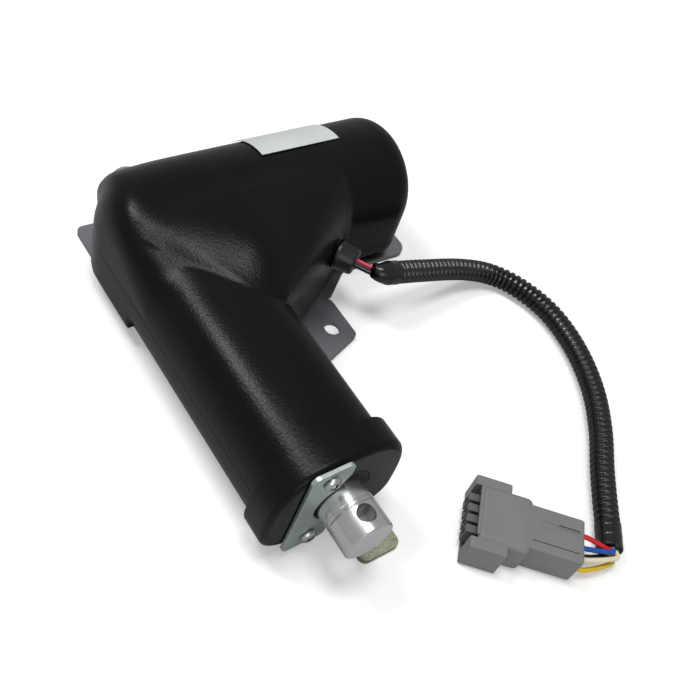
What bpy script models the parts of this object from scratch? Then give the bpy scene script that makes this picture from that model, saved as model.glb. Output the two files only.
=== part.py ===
"""Linear throttle actuator: a geared motor turns a lead screw, and the nut pushes a rod out of an L-shaped housing.

The rod runs along +X, the motor lies along +Y and +Z is up. The origin is on the underside of the mounting
plate, straight below the point where the motor's axis crosses the rod's axis. Run in Blender 4.5.
"""
import math

import bmesh
import bpy
from mathutils import Matrix, Vector

MM = 0.001

# Clearances
SEAT_GAP = 0.3 * MM
SLIDE_GAP = 0.15 * MM
SPIN_GAP = 0.3 * MM

# Mounting plate and height of the rod's axis
PLATE_THICKNESS = 2.3 * MM
HOUSING_DEPTH = 24.0 * MM
AXIS_HEIGHT = PLATE_THICKNESS + SEAT_GAP + HOUSING_DEPTH
MOUNT_HOLE_RADIUS = 3.5 * MM

# Housing
WALL = 2.5 * MM
ARM_HALF_WIDTH = 25.3 * MM
ARM_TOP = 20.3 * MM
ARM_BOTTOM = 21.4 * MM
ARM_WIDEST_BELOW_AXIS = 7.2 * MM
ARM_ROUNDNESS = 2.9
BARREL_RADIUS = 27.3 * MM
BARREL_END_Y = 112.0 * MM
BARREL_END_ROUND = 10.0 * MM
BARREL_FLOOR = 23.5 * MM
BARREL_FLOOR_ROUND = 4.0 * MM
BARREL_SHOULDER = 12.0 * MM
REAR_CORNER_RADIUS = 28.0 * MM
CROWN_START_Y = 20.0 * MM
CROWN_FALL = 2.0 * MM
GUSSET_ARM_X = 59.3 * MM
GUSSET_END_Y = 76.0 * MM
GUSSET_WALL_TOP = 13.5 * MM
GUSSET_PEAK_TOP = 15.5 * MM
GUSSET_ROUND = 3.0 * MM
GUSSET_FLOOR = 23.2 * MM
GUSSET_START_Y = -14.0 * MM
GUSSET_BELOW_BARREL = 0.3 * MM
GUSSET_FAR_TOP = 1.0 * MM
GUSSET_SHOULDER_X = 42.0 * MM
GUSSET_SHOULDER_Y = 19.0 * MM
GUSSET_PEAK_BACK = 1.5 * MM
GUSSET_PEAK_INWARD = 3.3 * MM
FORM_ROUND_MIN = 0.5 * MM
CUT_REACH = 15.0 * MM
CUT_OVER = 1.0 * MM
# Where the dome between the arm and the barrel meets the arm's top, in mm from the crossing of the axes
GUSSET_CREASE = ((20.0, -17.6, 16.6), (24.4, -15.9, 17.8), (28.1, -13.9, 18.7), (31.5, -11.3, 19.5),
                 (37.5, -6.9, 20.3), (43.2, -1.8, 20.5), (49.2, 3.1, 20.4), (53.3, 6.2, 20.3), (55.8, 7.8, 20.2),
                 (59.8, 12.5, 19.2), (60.7, 16.2, 17.9), (61.5, 18.6, 17.4))
PARTING_LEFT_BELOW_AXIS = 3.0 * MM
PARTING_RIGHT_BELOW_AXIS = 16.0 * MM
PARTING_STEP_Y = -5.0 * MM
FOOT_HALF_WIDTH = 18.3 * MM
FOOT_REAR_X = -8.0 * MM
FOOT_FROM_CAP = 4.0 * MM
FOOT_SINK = 2.0 * MM
SIDE_FOOT_REAR_X = -22.0 * MM
SIDE_FOOT_INSET = 6.0 * MM

# End cap on the arm
CAP_REAR_X = 119.7 * MM
CAP_FRONT_X = 132.2 * MM
CAP_PROUD = 2.6 * MM
CAP_LAP = 7.5 * MM
ARM_END_X = CAP_REAR_X + CAP_LAP
CAP_CORNER_RADIUS = 10.0 * MM
CAP_BORE_RADIUS = 13.0 * MM
CAP_EDGE = 1.2 * MM

# Rear stud, nut and washer
BUSH_WALL = 1.5 * MM
STUD_RADIUS = 3.0 * MM
STUD_FLANGE_RADIUS = 8.5 * MM
STUD_FLANGE_LENGTH = 8.0 * MM
REAR_BOSS_RADIUS = 7.0 * MM
REAR_BOSS_PROUD = 0.3 * MM
REAR_PAD = 2.8 * MM
REAR_PAD_RADIUS = 9.5 * MM
STUD_FLOOR = 2.0 * MM
WASHER_THICKNESS = 1.6 * MM
WASHER_RADIUS = 6.5 * MM
NUT_ACROSS_FLATS = 10.0 * MM
NUT_HEIGHT = 4.0 * MM
NUT_CHAMFER = 0.3 * MM
NUT_CHAMFER_SHARE = 0.3
STUD_PROUD = 0.8 * MM
STUD_CHAMFER = 0.5 * MM
STUD_SEAT_X = -BARREL_RADIUS + WALL + REAR_PAD + SEAT_GAP

# Retainer plate, guide and wiper
RETAINER_SCREWS = ((-9.0 * MM, 17.6 * MM), (-9.0 * MM, -17.6 * MM))
RETAINER_THICKNESS = 1.6 * MM
RETAINER_TOP = 23.3 * MM
RETAINER_BOTTOM = 24.1 * MM
RETAINER_SIDE = 18.6 * MM
RETAINER_SIDE_TOP = 17.0 * MM
RETAINER_EDGE = -0.3 * MM
RETAINER_NOTCH = 10.8 * MM
RETAINER_LIP_Y = 5.0 * MM
RETAINER_LIP_Z = 6.0 * MM
GUIDE_LENGTH = 26.0 * MM
GUIDE_SUPPORT_FROM_REAR = 2.0 * MM
GUIDE_SUPPORT_THICKNESS = 4.0 * MM
WIPER_LENGTH = 3.2 * MM
WIPER_RELIEF = 0.8 * MM

# Rod, nut and screw
ROD_RADIUS = 9.525 * MM
ROD_TIP_X = 152.0 * MM
ROD_REAR_X = 48.0 * MM
ROD_HOLE_RADIUS = 3.5 * MM
ROD_HOLE_FROM_TIP = 6.6 * MM
ROD_GROOVE_FROM_TIP = 11.0 * MM
ROD_GROOVE_DEPTH = 0.35 * MM
ROD_GROOVE_WIDTH = 0.6 * MM
ROD_CHAMFER = 0.5 * MM
ROD_STROKE = 50.0 * MM
SCREW_RADIUS = 5.0 * MM
SCREW_JOURNAL_RADIUS = 4.0 * MM
SCREW_PAST_NUT = 2.0 * MM
SCREW_CHAMFER = 1.0 * MM
NUT_RADIUS = 10.5 * MM
NUT_LENGTH = 14.0 * MM
NUT_SPIGOT_RADIUS = 7.4 * MM
NUT_SPIGOT_LENGTH = 8.0 * MM
ROD_BORE_RADIUS = 6.5 * MM
SCREW_FRONT_X = ROD_REAR_X + ROD_STROKE + SCREW_PAST_NUT
ROD_BORE_FRONT_X = SCREW_FRONT_X + 4.0 * MM
NUT_BORE_RADIUS = SCREW_RADIUS + SPIN_GAP

# Gears: a pinion on the motor and a face gear on the screw
GEAR_MODULE = 4.0 / 3.0 * MM
PINION_TEETH = 8
FACE_GEAR_TEETH = 24
GEAR_FACE_WIDTH = 3.0 * MM
TOOTH_SHARE = 0.37
TOOTH_SLOPE = math.radians(22)
FACE_GEAR_DISC = 4.0 * MM
FACE_GEAR_RIM = 0.5 * MM
TOOTH_SINK = 0.6 * MM
PINION_PITCH_RADIUS = GEAR_MODULE * PINION_TEETH / 2
FACE_GEAR_PITCH_RADIUS = GEAR_MODULE * FACE_GEAR_TEETH / 2
PINION_ADDENDUM = 0.9 * GEAR_MODULE
PINION_DEDENDUM = 1.0 * GEAR_MODULE
FACE_ADDENDUM = 0.6 * GEAR_MODULE
FACE_DEDENDUM = 1.2 * GEAR_MODULE
FACE_GEAR_ROOT_X = PINION_PITCH_RADIUS + FACE_DEDENDUM
FACE_GEAR_BACK = FACE_GEAR_ROOT_X + FACE_GEAR_DISC

# Motor
MOTOR_RADIUS = 18.0 * MM
MOTOR_FRONT_Y = 34.0 * MM
MOTOR_LENGTH = 58.0 * MM
MOTOR_WALL = 1.5 * MM
MOTOR_SHAFT_RADIUS = 2.0 * MM
MOTOR_BOSS_RADIUS = 6.0 * MM
MOTOR_BOSS_LENGTH = 3.0 * MM
MAGNET_THICKNESS = 3.5 * MM
ROTOR_AIR_GAP = 0.6 * MM
MOTOR_MOUNT_WIDTH = 6.0 * MM
END_BELL_THICKNESS = 3.0 * MM
BELL_BOSS_LENGTH = 2.0 * MM
MAGNET_FROM_FRONT = 5.0 * MM
MAGNET_FROM_BRUSHES = 3.0 * MM
MOUNT_FROM_MOTOR_END = 3.0 * MM
SHAFT_PAST_PINION = 0.5 * MM
MOTOR_END_Y = MOTOR_FRONT_Y + MOTOR_LENGTH
BELL_RADIUS = MOTOR_RADIUS - MOTOR_WALL - SEAT_GAP

# Fasteners
HOUSING_SCREW_RADIUS = 1.75 * MM
HOUSING_SCREW_HEAD_RADIUS = 3.4 * MM
HOUSING_SCREW_HEAD_INSET = 0.2 * MM
HOUSING_SCREW_HEAD_END = 2.0 * MM
HOUSING_SCREW_TIP = 0.8 * MM
HEX_SOCKET_TOP = 1.7 * MM
HEX_SOCKET_RADIUS = 1.3 * MM
HOUSING_BOSS_RADIUS = 3.9 * MM
ARM_BOSS_X = 88.0 * MM
ARM_BOSS_Y = 15.0 * MM
REAR_BOSS_X = -14.0 * MM
REAR_BOSS_Y = -14.5 * MM
END_BOSS_X = 15.0 * MM
END_BOSS_Y = 101.0 * MM
BOSS_TOP = 6.0 * MM
BOSS_CROWN = 2.0 * MM
RIB_THICKNESS = 3.0 * MM
RIB_CROWN = 1.5 * MM
RIB_BELOW_AXIS = 10.0 * MM
RIB_FROM_OUTSIDE = 2.1 * MM
RIB_FROM_END = 1.5 * MM
RETAINER_SCREW_RADIUS = 1.5 * MM
RETAINER_SCREW_HEAD_RADIUS = 3.2 * MM
RETAINER_SCREW_LENGTH = 6.0 * MM
PAN_HEAD_HEIGHT = 2.1 * MM
CROSS_SLOT_WIDTH = 1.0 * MM
CROSS_SLOT_LENGTH = 4.4 * MM

# Mounting plate's outline, from the rod's axis and the crossing
PLATE_REAR_X = -34.0 * MM
PLATE_LEFT_Y = -19.0 * MM
PLATE_ARM_END_X = 126.0 * MM
PLATE_END_X = 28.6 * MM
PLATE_END_Y = 117.4 * MM
PLATE_CORNER_RADIUS = 6.0 * MM
FRONT_EAR_X = 150.7 * MM
FRONT_EAR_Y = 15.2 * MM
FRONT_EAR_HALF = 8.7 * MM
SIDE_EAR_FOOT_X = 76.8 * MM
SIDE_EAR_X = 62.0 * MM
SIDE_EAR_Y = 64.8 * MM
SIDE_HOLE_X = 54.8 * MM
SIDE_HOLE_Y = 56.3 * MM
FRONT_HOLE_FROM_END = 8.5 * MM
# The side ear's far end and the slope back to the barrel: X, Y and corner radius
SIDE_EAR_END = ((40.3 * MM, 64.8 * MM, 2.6 * MM), (39.4 * MM, 61.5 * MM, 0.6 * MM), (38.6 * MM, 67.0 * MM, 3.0 * MM),
                (27.9 * MM, 80.5 * MM, 4.0 * MM))

# Label
LABEL_THICKNESS = 0.3 * MM
LABEL_START_Y = 43.0 * MM
LABEL_END_Y = 81.0 * MM
LABEL_START = math.radians(92)
LABEL_END = math.radians(138)

# Position sensor and the shoe that drives it
SENSOR_TOP = 14.3 * MM
SENSOR_WIDTH = 12.0 * MM
SENSOR_SLOT = 3.6 * MM
SHOE_HALF_WIDTH = 4.0 * MM
SHOE_SEAT_DEPTH = 2.0 * MM
SHOE_FROM_NUT = 3.0 * MM
SHOE_LENGTH = 8.0 * MM
FINGER_LENGTH = 3.0 * MM
SENSOR_SLOT_DEPTH = 2.0 * MM
SENSOR_PAST_STROKE = 4.0 * MM
SENSOR_END_WALL = 3.0 * MM

# Bearing in front of the face gear
BEARING_LENGTH = 6.0 * MM
BEARING_RADIUS = 11.0 * MM
BEARING_FROM_GEAR = 5.0 * MM
THRUST_WASHER_RADIUS = 8.0 * MM

# Inside the motor
BRUSH_RING_LENGTH = 3.0 * MM
COMMUTATOR_RADIUS = 5.0 * MM
MAGNET_ANGLES = [math.radians(-65 + 13 * step) for step in range(11)]

# Cable
GROMMET_NOSE_LENGTH = 9.0 * MM
GROMMET_RIM = 1.6 * MM
GROMMET_EDGE = 0.5 * MM
GROMMET_NECK_DEPTH = 4.5 * MM
GROMMET_BASE_RADIUS = 7.0 * MM
GROMMET_NOSE_RADIUS = 5.7 * MM
GROMMET_NECK_RADIUS = 4.6 * MM
GROMMET_BORE_RADIUS = 2.8 * MM
COLLAR_RADIUS = 7.5 * MM
COLLAR_PROUD = 0.6 * MM
COLLAR_DEPTH = 14.0 * MM
GROMMET_Y = 65.0 * MM
GROMMET_BELOW_AXIS = 1.5 * MM
LOOM_RADIUS = 5.0 * MM
TAPE_RADIUS = 5.3 * MM
WIRE_RADIUS = 1.0 * MM
EXIT_WIRE_RADIUS = 0.95 * MM
EXIT_WIRE_SPREAD = 1.35 * MM
EXIT_WIRE_START = 4.0 * MM
PLUG_WIRE_STRAIGHT = 3.0 * MM
ROUTE_STEP = 1.0 * MM
WIRE_STEP = 2.5 * MM
TAPE_START_STEPS = 12
TAPE_END_STEPS = 11
TAPE_TAPER_STEPS = 7
TAPE_TIP_SHARE = 0.62
LOOM_STRIDE = 12

# Sealed plug at the loose end of the cable
PLUG_HEIGHT = 15.0 * MM
PLUG_REAR_LENGTH = 20.6 * MM
PLUG_REAR_WIDTH = 19.0 * MM
PLUG_MIDDLE_LENGTH = 8.6 * MM
PLUG_MIDDLE_WIDTH = 24.0 * MM
PLUG_FRONT_LENGTH = 14.0 * MM
PLUG_FRONT_WIDTH = 30.4 * MM
PLUG_WALL = 1.6 * MM
PLUG_ANGLE = math.radians(45)
PLUG_RIM = Vector((155.3 * MM, 51.0 * MM, 0.0))
PLUG_LIFT = 0.1 * MM
PLUG_TAB_HEIGHT = 14.0 * MM
PLUG_SOCKET_DEPTH = 12.0 * MM
PLUG_SEAL_DEPTH = 3.0 * MM
PLUG_CORE_PROUD = 3.0 * MM
PLUG_CORE_BASE = 2.0 * MM
PLUG_CORE_SLOT = 1.3 * MM
PLUG_CORE_SLOT_END = 6.0 * MM
PLUG_CONTACT_PITCH = 4.6 * MM
PLUG_RIM_BACK = 1.5 * MM
PLUG_TAB_PROUD = 1.5 * MM
PLUG_LAP = 5.0 * MM
PLUG_STEP = 0.15 * MM
PLUG_EDGE = 2.5 * MM
PLUG_REAR_EDGE = 1.2 * MM
PLUG_TAB_EDGE = 0.6 * MM
PLUG_SEAL_INSET = 0.6 * MM
PLUG_MOAT = 1.6 * MM
SEAL_REAR_U = PLUG_FRONT_LENGTH + PLUG_MIDDLE_LENGTH + PLUG_REAR_LENGTH - PLUG_SEAL_INSET

# The cable's route from the boot to the plug, chosen by hand, in metres
CABLE_ROUTE = (
    (0.0486, 0.0746, 0.0251), (0.0512, 0.0800, 0.0242), (0.0516, 0.1010, 0.0180), (0.0531, 0.1273, 0.0106),
    (0.0584, 0.1448, 0.0060), (0.0711, 0.1536, 0.0056), (0.0891, 0.1576, 0.0056), (0.1101, 0.1547, 0.0056),
    (0.1307, 0.1461, 0.0056), (0.1484, 0.1344, 0.0056), (0.1637, 0.1210, 0.0056), (0.1748, 0.1118, 0.0056),
    (0.1854, 0.1034, 0.0056), (0.1925, 0.0972, 0.0056),
)
EXIT_WIRES = (("exit_wire_red", (0.55, 0.03, 0.06)), ("exit_wire_white", (0.75, 0.73, 0.66)),
              ("exit_wire_black", (0.01, 0.01, 0.01)))
# Name, colour, offsets at the loom towards the plug and up, bulge, and place across and up at the plug, in mm
PLUG_WIRES = (
    ("plug_wire_red", (0.55, 0.01, 0.02), 2.6, 2.0, 1.5, 4.6, 11.0),
    ("plug_wire_blue", (0.01, 0.07, 0.32), 0.4, 3.0, 4.0, 1.2, 9.0),
    ("plug_wire_black", (0.01, 0.01, 0.01), 0.2, 0.0, 5.0, -1.6, 6.4),
    ("plug_wire_cream", (0.72, 0.68, 0.45), -2.4, 1.6, 7.0, -3.8, 9.0),
    ("plug_wire_yellow", (0.70, 0.48, 0.02), -2.0, -2.2, 8.5, -5.2, 4.6),
)


def clear_scene():
    for item in list(bpy.data.objects):
        bpy.data.objects.remove(item, do_unlink=True)


def make_collection(name):
    group = bpy.data.collections.new(name)
    bpy.context.scene.collection.children.link(group)
    return group


clear_scene()
PARTS = make_collection("throttle_actuator")
GUIDES = make_collection("cutters")


def material(name, colour, roughness, metallic=0.0):
    surface = bpy.data.materials.new(name)
    surface.use_nodes = True
    shader = surface.node_tree.nodes["Principled BSDF"]
    shader.inputs["Base Color"].default_value = (*colour, 1.0)
    shader.inputs["Roughness"].default_value = roughness
    shader.inputs["Metallic"].default_value = metallic
    return surface


def black_plastic(name):
    return material(name, (0.012, 0.014, 0.015), 0.42)


def zinc(name):
    return material(name, (0.55, 0.60, 0.56), 0.32, 1.0)


def steel(name):
    return material(name, (0.60, 0.60, 0.60), 0.30, 1.0)


# Building blocks


def add_object(name, mesh, surface=None):
    """Part object when it has a material, otherwise a hidden guide."""
    item = bpy.data.objects.new(name, mesh)
    if surface:
        mesh.materials.clear()
        mesh.materials.append(surface)
        PARTS.objects.link(item)
    else:
        item.hide_render = True
        item.display_type = "WIRE"
        GUIDES.objects.link(item)
    return item


def mesh_from(name, work):
    bmesh.ops.recalc_face_normals(work, faces=work.faces)
    mesh = bpy.data.meshes.new(name)
    work.to_mesh(mesh)
    work.free()
    return mesh


def evaluated_mesh(item):
    bpy.context.view_layer.update()
    graph = bpy.context.evaluated_depsgraph_get()
    return bpy.data.meshes.new_from_object(item.evaluated_get(graph))


def settle(item):
    """Replace an object by its evaluated mesh in world space, welded."""
    mesh = evaluated_mesh(item)
    mesh.transform(item.matrix_world)
    work = bmesh.new()
    work.from_mesh(mesh)
    bmesh.ops.remove_doubles(work, verts=work.verts, dist=0.000002)
    work.to_mesh(mesh)
    work.free()
    item.modifiers.clear()
    item.data = mesh
    item.matrix_world = Matrix.Identity(4)
    return item


def combine(item, tool, operation, keep_tool=False):
    """Boolean the tool into the item at once; the tool is used up unless it is kept."""
    change = item.modifiers.new(operation.lower(), "BOOLEAN")
    change.operation = operation
    change.solver = "EXACT"
    change.object = tool
    settle(item)
    if not keep_tool:
        bpy.data.objects.remove(tool, do_unlink=True)
    return item


def cut(item, *tools):
    for tool in tools:
        combine(item, tool, "DIFFERENCE")
    return item


def join(item, *tools):
    for tool in tools:
        combine(item, tool, "UNION")
    return item


def copy_of(item, name, surface=None):
    return add_object(name, item.data.copy(), surface)


def finish(guide, name, surface):
    """Turn a finished guide into the part of this name."""
    guide.name = guide.name + "_guide"
    part = smooth(copy_of(guide, name, surface))
    bpy.data.objects.remove(guide, do_unlink=True)
    return part


def finish_each(name, guides, surface):
    """Like pieces, each in a numbered object of its own."""
    for index, guide in enumerate(guides, start=1):
        finish(guide, f"{name}_{index}", surface)


def soften(item, width, segments=2, angle=40):
    """Round the sharp edges, then bake the result."""
    bevel = item.modifiers.new("edges", "BEVEL")
    bevel.width = width
    bevel.segments = segments
    bevel.limit_method = "ANGLE"
    bevel.angle_limit = math.radians(angle)
    bevel.use_clamp_overlap = True
    return settle(item)


def smooth(item, angle=35):
    item.data.shade_smooth()
    item.data.set_sharp_from_angle(angle=math.radians(angle))
    return item


def axis_frame(place, direction):
    """Matrix that carries local +Z onto a direction at a place."""
    turn = Vector(direction).normalized().to_track_quat("Z", "Y")
    return Matrix.Translation(Vector(place)) @ turn.to_matrix().to_4x4()


def block(name, low, high, surface=None):
    """Axis-aligned box between two corners."""
    low, high = Vector(low), Vector(high)
    work = bmesh.new()
    place = Matrix.Translation((low + high) / 2) @ Matrix.Diagonal((*(high - low), 1.0))
    bmesh.ops.create_cube(work, size=1.0, matrix=place)
    return add_object(name, mesh_from(name, work), surface)


def round_bar(name, place, direction, length, radius, surface=None, sides=24):
    """Cylinder or cone that starts at a place and runs along a direction."""
    work = bmesh.new()
    frame = axis_frame(place, direction) @ Matrix.Translation((0, 0, length / 2))
    bmesh.ops.create_cone(work, cap_ends=True, segments=sides, radius1=radius, radius2=radius,
                          depth=length, matrix=frame)
    return add_object(name, mesh_from(name, work), surface)


def turned(name, place, direction, profile, surface=None, sides=24, closed=False):
    """Turn a profile of (distance along the axis, radius) pairs; a closed profile makes a ring."""
    work = bmesh.new()
    points = [work.verts.new((radius, 0.0, along)) for along, radius in profile]
    for first, second in zip(points, points[1:]):
        work.edges.new((first, second))
    if closed:
        work.edges.new((points[-1], points[0]))
    mesh = bpy.data.meshes.new(name)
    work.to_mesh(mesh)
    work.free()
    item = add_object(name, mesh, surface)
    screw = item.modifiers.new("turn", "SCREW")
    screw.axis = "Z"
    screw.steps = sides
    screw.render_steps = sides
    screw.use_merge_vertices = True
    screw.merge_threshold = 0.000002
    screw.use_smooth_shade = False
    item.matrix_world = axis_frame(place, direction)
    settle(item)
    work = bmesh.new()
    work.from_mesh(item.data)
    bmesh.ops.recalc_face_normals(work, faces=work.faces)
    work.to_mesh(item.data)
    work.free()
    return item


def ring(name, place, direction, length, outer, inner, surface=None, sides=24):
    """Plain ring that starts at a place and runs along a direction."""
    profile = [(0.0, outer), (length, outer), (length, inner), (0.0, inner)]
    return turned(name, place, direction, profile, surface, sides, closed=True)


def sheet(name, outlines, thickness, frame, surface=None):
    """Flat plate from an outline and its holes; local XY is the plate's middle plane."""
    curve = bpy.data.curves.new(name, "CURVE")
    curve.dimensions = "2D"
    curve.fill_mode = "BOTH"
    curve.extrude = thickness / 2
    for outline in outlines:
        spline = curve.splines.new("POLY")
        spline.points.add(len(outline) - 1)
        for point, (x, y) in zip(spline.points, outline):
            point.co = (x, y, 0.0, 1.0)
        spline.use_cyclic_u = True
    guide = bpy.data.objects.new(name + "_outline", curve)
    GUIDES.objects.link(guide)
    mesh = evaluated_mesh(guide)
    bpy.data.objects.remove(guide, do_unlink=True)
    item = add_object(name, mesh, surface)
    item.matrix_world = frame
    settle(item)
    work = bmesh.new()
    work.from_mesh(item.data)
    bmesh.ops.recalc_face_normals(work, faces=work.faces)
    work.to_mesh(item.data)
    work.free()
    return item


def circle(centre, radius, sides=24):
    steps = (2 * math.pi * step / sides for step in range(sides))
    return [(centre[0] + radius * math.cos(a), centre[1] + radius * math.sin(a)) for a in steps]


def rounded(corners, radii, steps=5):
    """Closed outline with each corner replaced by an arc of its own radius."""
    outline = []
    count = len(corners)
    for index, corner in enumerate(corners):
        here = Vector(corner)
        back = (Vector(corners[index - 1]) - here).normalized()
        ahead = (Vector(corners[(index + 1) % count]) - here).normalized()
        half = back.angle(ahead) / 2
        radius = radii[index]
        if radius <= 0 or half > math.radians(89):
            outline.append(tuple(here))
            continue
        centre = here + (back + ahead).normalized() * radius / math.sin(half)
        start = here + back * radius / math.tan(half) - centre
        end = here + ahead * radius / math.tan(half) - centre
        sweep = start.angle_signed(end)
        for step in range(steps + 1):
            angle = -sweep * step / steps
            outline.append(tuple(centre + Matrix.Rotation(angle, 2) @ start))
    return outline


def loft(name, sections, surface=None):
    """Closed solid through rings of points that all have the same count."""
    work = bmesh.new()
    rings = [[work.verts.new(point) for point in section] for section in sections]
    count = len(rings[0])
    for near, far in zip(rings, rings[1:]):
        for index in range(count):
            after = (index + 1) % count
            work.faces.new((near[index], near[after], far[after], far[index]))
    work.faces.new(rings[0])
    work.faces.new(rings[-1])
    return add_object(name, mesh_from(name, work), surface)


def hull(name, points, surface=None):
    work = bmesh.new()
    for point in points:
        work.verts.new(point)
    bmesh.ops.convex_hull(work, input=work.verts)
    loose = [vert for vert in work.verts if not vert.link_faces]
    bmesh.ops.delete(work, geom=loose, context="VERTS")
    return add_object(name, mesh_from(name, work), surface)


def smooth_path(points, spacing):
    """Even points along a Catmull-Rom curve through a route's own points."""
    knots = [Vector(point) for point in points]
    knots = [2 * knots[0] - knots[1]] + knots + [2 * knots[-1] - knots[-2]]
    dense = []
    for a, b, c, d in zip(knots, knots[1:], knots[2:], knots[3:]):
        for step in range(24):
            t = step / 24
            dense.append(0.5 * (2 * b + (c - a) * t + (2 * a - 5 * b + 4 * c - d) * t * t
                                + (3 * b - a - 3 * c + d) * t ** 3))
    dense.append(knots[-2])
    lengths = [0.0]
    for near, far in zip(dense, dense[1:]):
        lengths.append(lengths[-1] + (far - near).length)
    count = max(2, round(lengths[-1] / spacing))
    path, index = [], 0
    for step in range(count + 1):
        target = lengths[-1] * step / count
        while index < len(dense) - 2 and lengths[index + 1] < target:
            index += 1
        share = (target - lengths[index]) / (lengths[index + 1] - lengths[index])
        path.append(dense[index].lerp(dense[index + 1], share))
    return path


def tube(name, path, radius, surface, resolution=2, radii=None):
    """Round tube along a path, with flat caps."""
    curve = bpy.data.curves.new(name, "CURVE")
    curve.dimensions = "3D"
    curve.bevel_depth = radius
    curve.bevel_resolution = resolution
    curve.use_fill_caps = True
    spline = curve.splines.new("POLY")
    spline.points.add(len(path) - 1)
    for index, point in enumerate(path):
        spline.points[index].co = (*point, 1.0)
        spline.points[index].radius = radii[index] if radii else 1.0
    curve.materials.append(surface)
    item = bpy.data.objects.new(name, curve)
    PARTS.objects.link(item)
    return item


FACING_FRONT = Matrix(((0, 0, 1, 0), (1, 0, 0, 0), (0, 1, 0, 0), (0, 0, 0, 1)))


def on_axis(x, y=0.0, z=0.0):
    """Point given from the crossing of the rod's and the motor's axes."""
    return Vector((x, y, z + AXIS_HEIGHT))


# Housing form


def arm_section(x, grow, half_count=16):
    """Rounded arm outline at one station, grown or shrunk all round."""
    width = ARM_HALF_WIDTH + grow
    rise = ARM_TOP + ARM_WIDEST_BELOW_AXIS + grow
    fall = ARM_BOTTOM - ARM_WIDEST_BELOW_AXIS + grow
    points = []
    for step in range(2 * half_count):
        angle = math.pi * step / half_count
        across = math.copysign(abs(math.cos(angle)) ** (2 / ARM_ROUNDNESS), math.cos(angle))
        up = math.copysign(abs(math.sin(angle)) ** (2 / ARM_ROUNDNESS), math.sin(angle))
        height = up * (rise if up > 0 else fall)
        points.append(on_axis(x, width * across, height - ARM_WIDEST_BELOW_AXIS))
    return points


def arm_form(name, grow, rear_x, front_x):
    return loft(name, [arm_section(rear_x, grow), arm_section(front_x, grow)])


def crown_drop(y):
    """The barrel's top falls gently towards the arm's far side."""
    reach = max(0.0, CROWN_START_Y - y) / (CROWN_START_Y + ARM_HALF_WIDTH)
    return CROWN_FALL * reach ** 1.8


def round_off(distance, radius):
    """How far a surface steps back at a distance from an edge that is rounded."""
    if distance >= radius:
        return 0.0
    return radius - math.sqrt(max(0.0, radius ** 2 - (radius - distance) ** 2))


def barrel_section(y, inset, arc_steps=16, corner_steps=2):
    left = -ARM_HALF_WIDTH + inset
    right = BARREL_END_Y - inset
    end_back = round_off(right - y, BARREL_END_ROUND - inset)
    shoulder = round_off(y - left, BARREL_SHOULDER - inset)
    corner = round_off(y - left, REAR_CORNER_RADIUS - inset)
    top = BARREL_RADIUS - inset - crown_drop(y) - shoulder - end_back
    front = BARREL_RADIUS - inset - end_back
    rear = -BARREL_RADIUS + inset + end_back + corner
    floor = -BARREL_FLOOR + inset + 0.4 * end_back
    middle, half = (front + rear) / 2, (front - rear) / 2
    turn = max(FORM_ROUND_MIN, BARREL_FLOOR_ROUND - inset)
    points = []
    for step in range(arc_steps + 1):
        angle = math.pi * step / arc_steps
        points.append(on_axis(middle + half * math.cos(angle), y, top * math.sin(angle)))
    for step in range(corner_steps + 1):
        angle = math.pi / 2 * step / corner_steps
        points.append(on_axis(rear + turn * (1 - math.cos(angle)), y, floor + turn * (1 - math.sin(angle))))
    for step in range(corner_steps + 1):
        angle = math.pi / 2 * step / corner_steps
        points.append(on_axis(front - turn * (1 - math.sin(angle)), y, floor + turn * (1 - math.cos(angle))))
    return points


def barrel_form(name, inset):
    left = -ARM_HALF_WIDTH + inset
    right = BARREL_END_Y - inset
    left_reach = REAR_CORNER_RADIUS - inset
    right_reach = BARREL_END_ROUND - inset
    stations = [left + left_reach * (1 - math.cos(math.pi / 2 * step / 6)) for step in range(7)]
    stations.append(CROWN_START_Y)
    stations += [right - right_reach * (1 - math.sin(math.pi / 2 * step / 4)) for step in range(5)]
    return loft(name, [barrel_section(y, inset) for y in stations])


def gusset_wall():
    """Ends of the slanted wall between the arm and the barrel, in plan, and its outward normal."""
    near = Vector((GUSSET_ARM_X, ARM_HALF_WIDTH))
    far = Vector((BARREL_RADIUS, GUSSET_END_Y))
    along = (far - near).normalized()
    return near, far, Vector((-along.y, along.x)) * -1


def ball_points(centre, radius):
    """Points of a coarse ball, to round a hull's corner."""
    points = [centre + Vector((0, 0, radius))]
    for level in range(3):
        height = math.radians(10 + 27 * level)
        for step in range(12):
            angle = math.pi / 6 * step
            points.append(centre + radius * Vector((math.cos(height) * math.cos(angle),
                                                    math.cos(height) * math.sin(angle), math.sin(height))))
    return points


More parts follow.
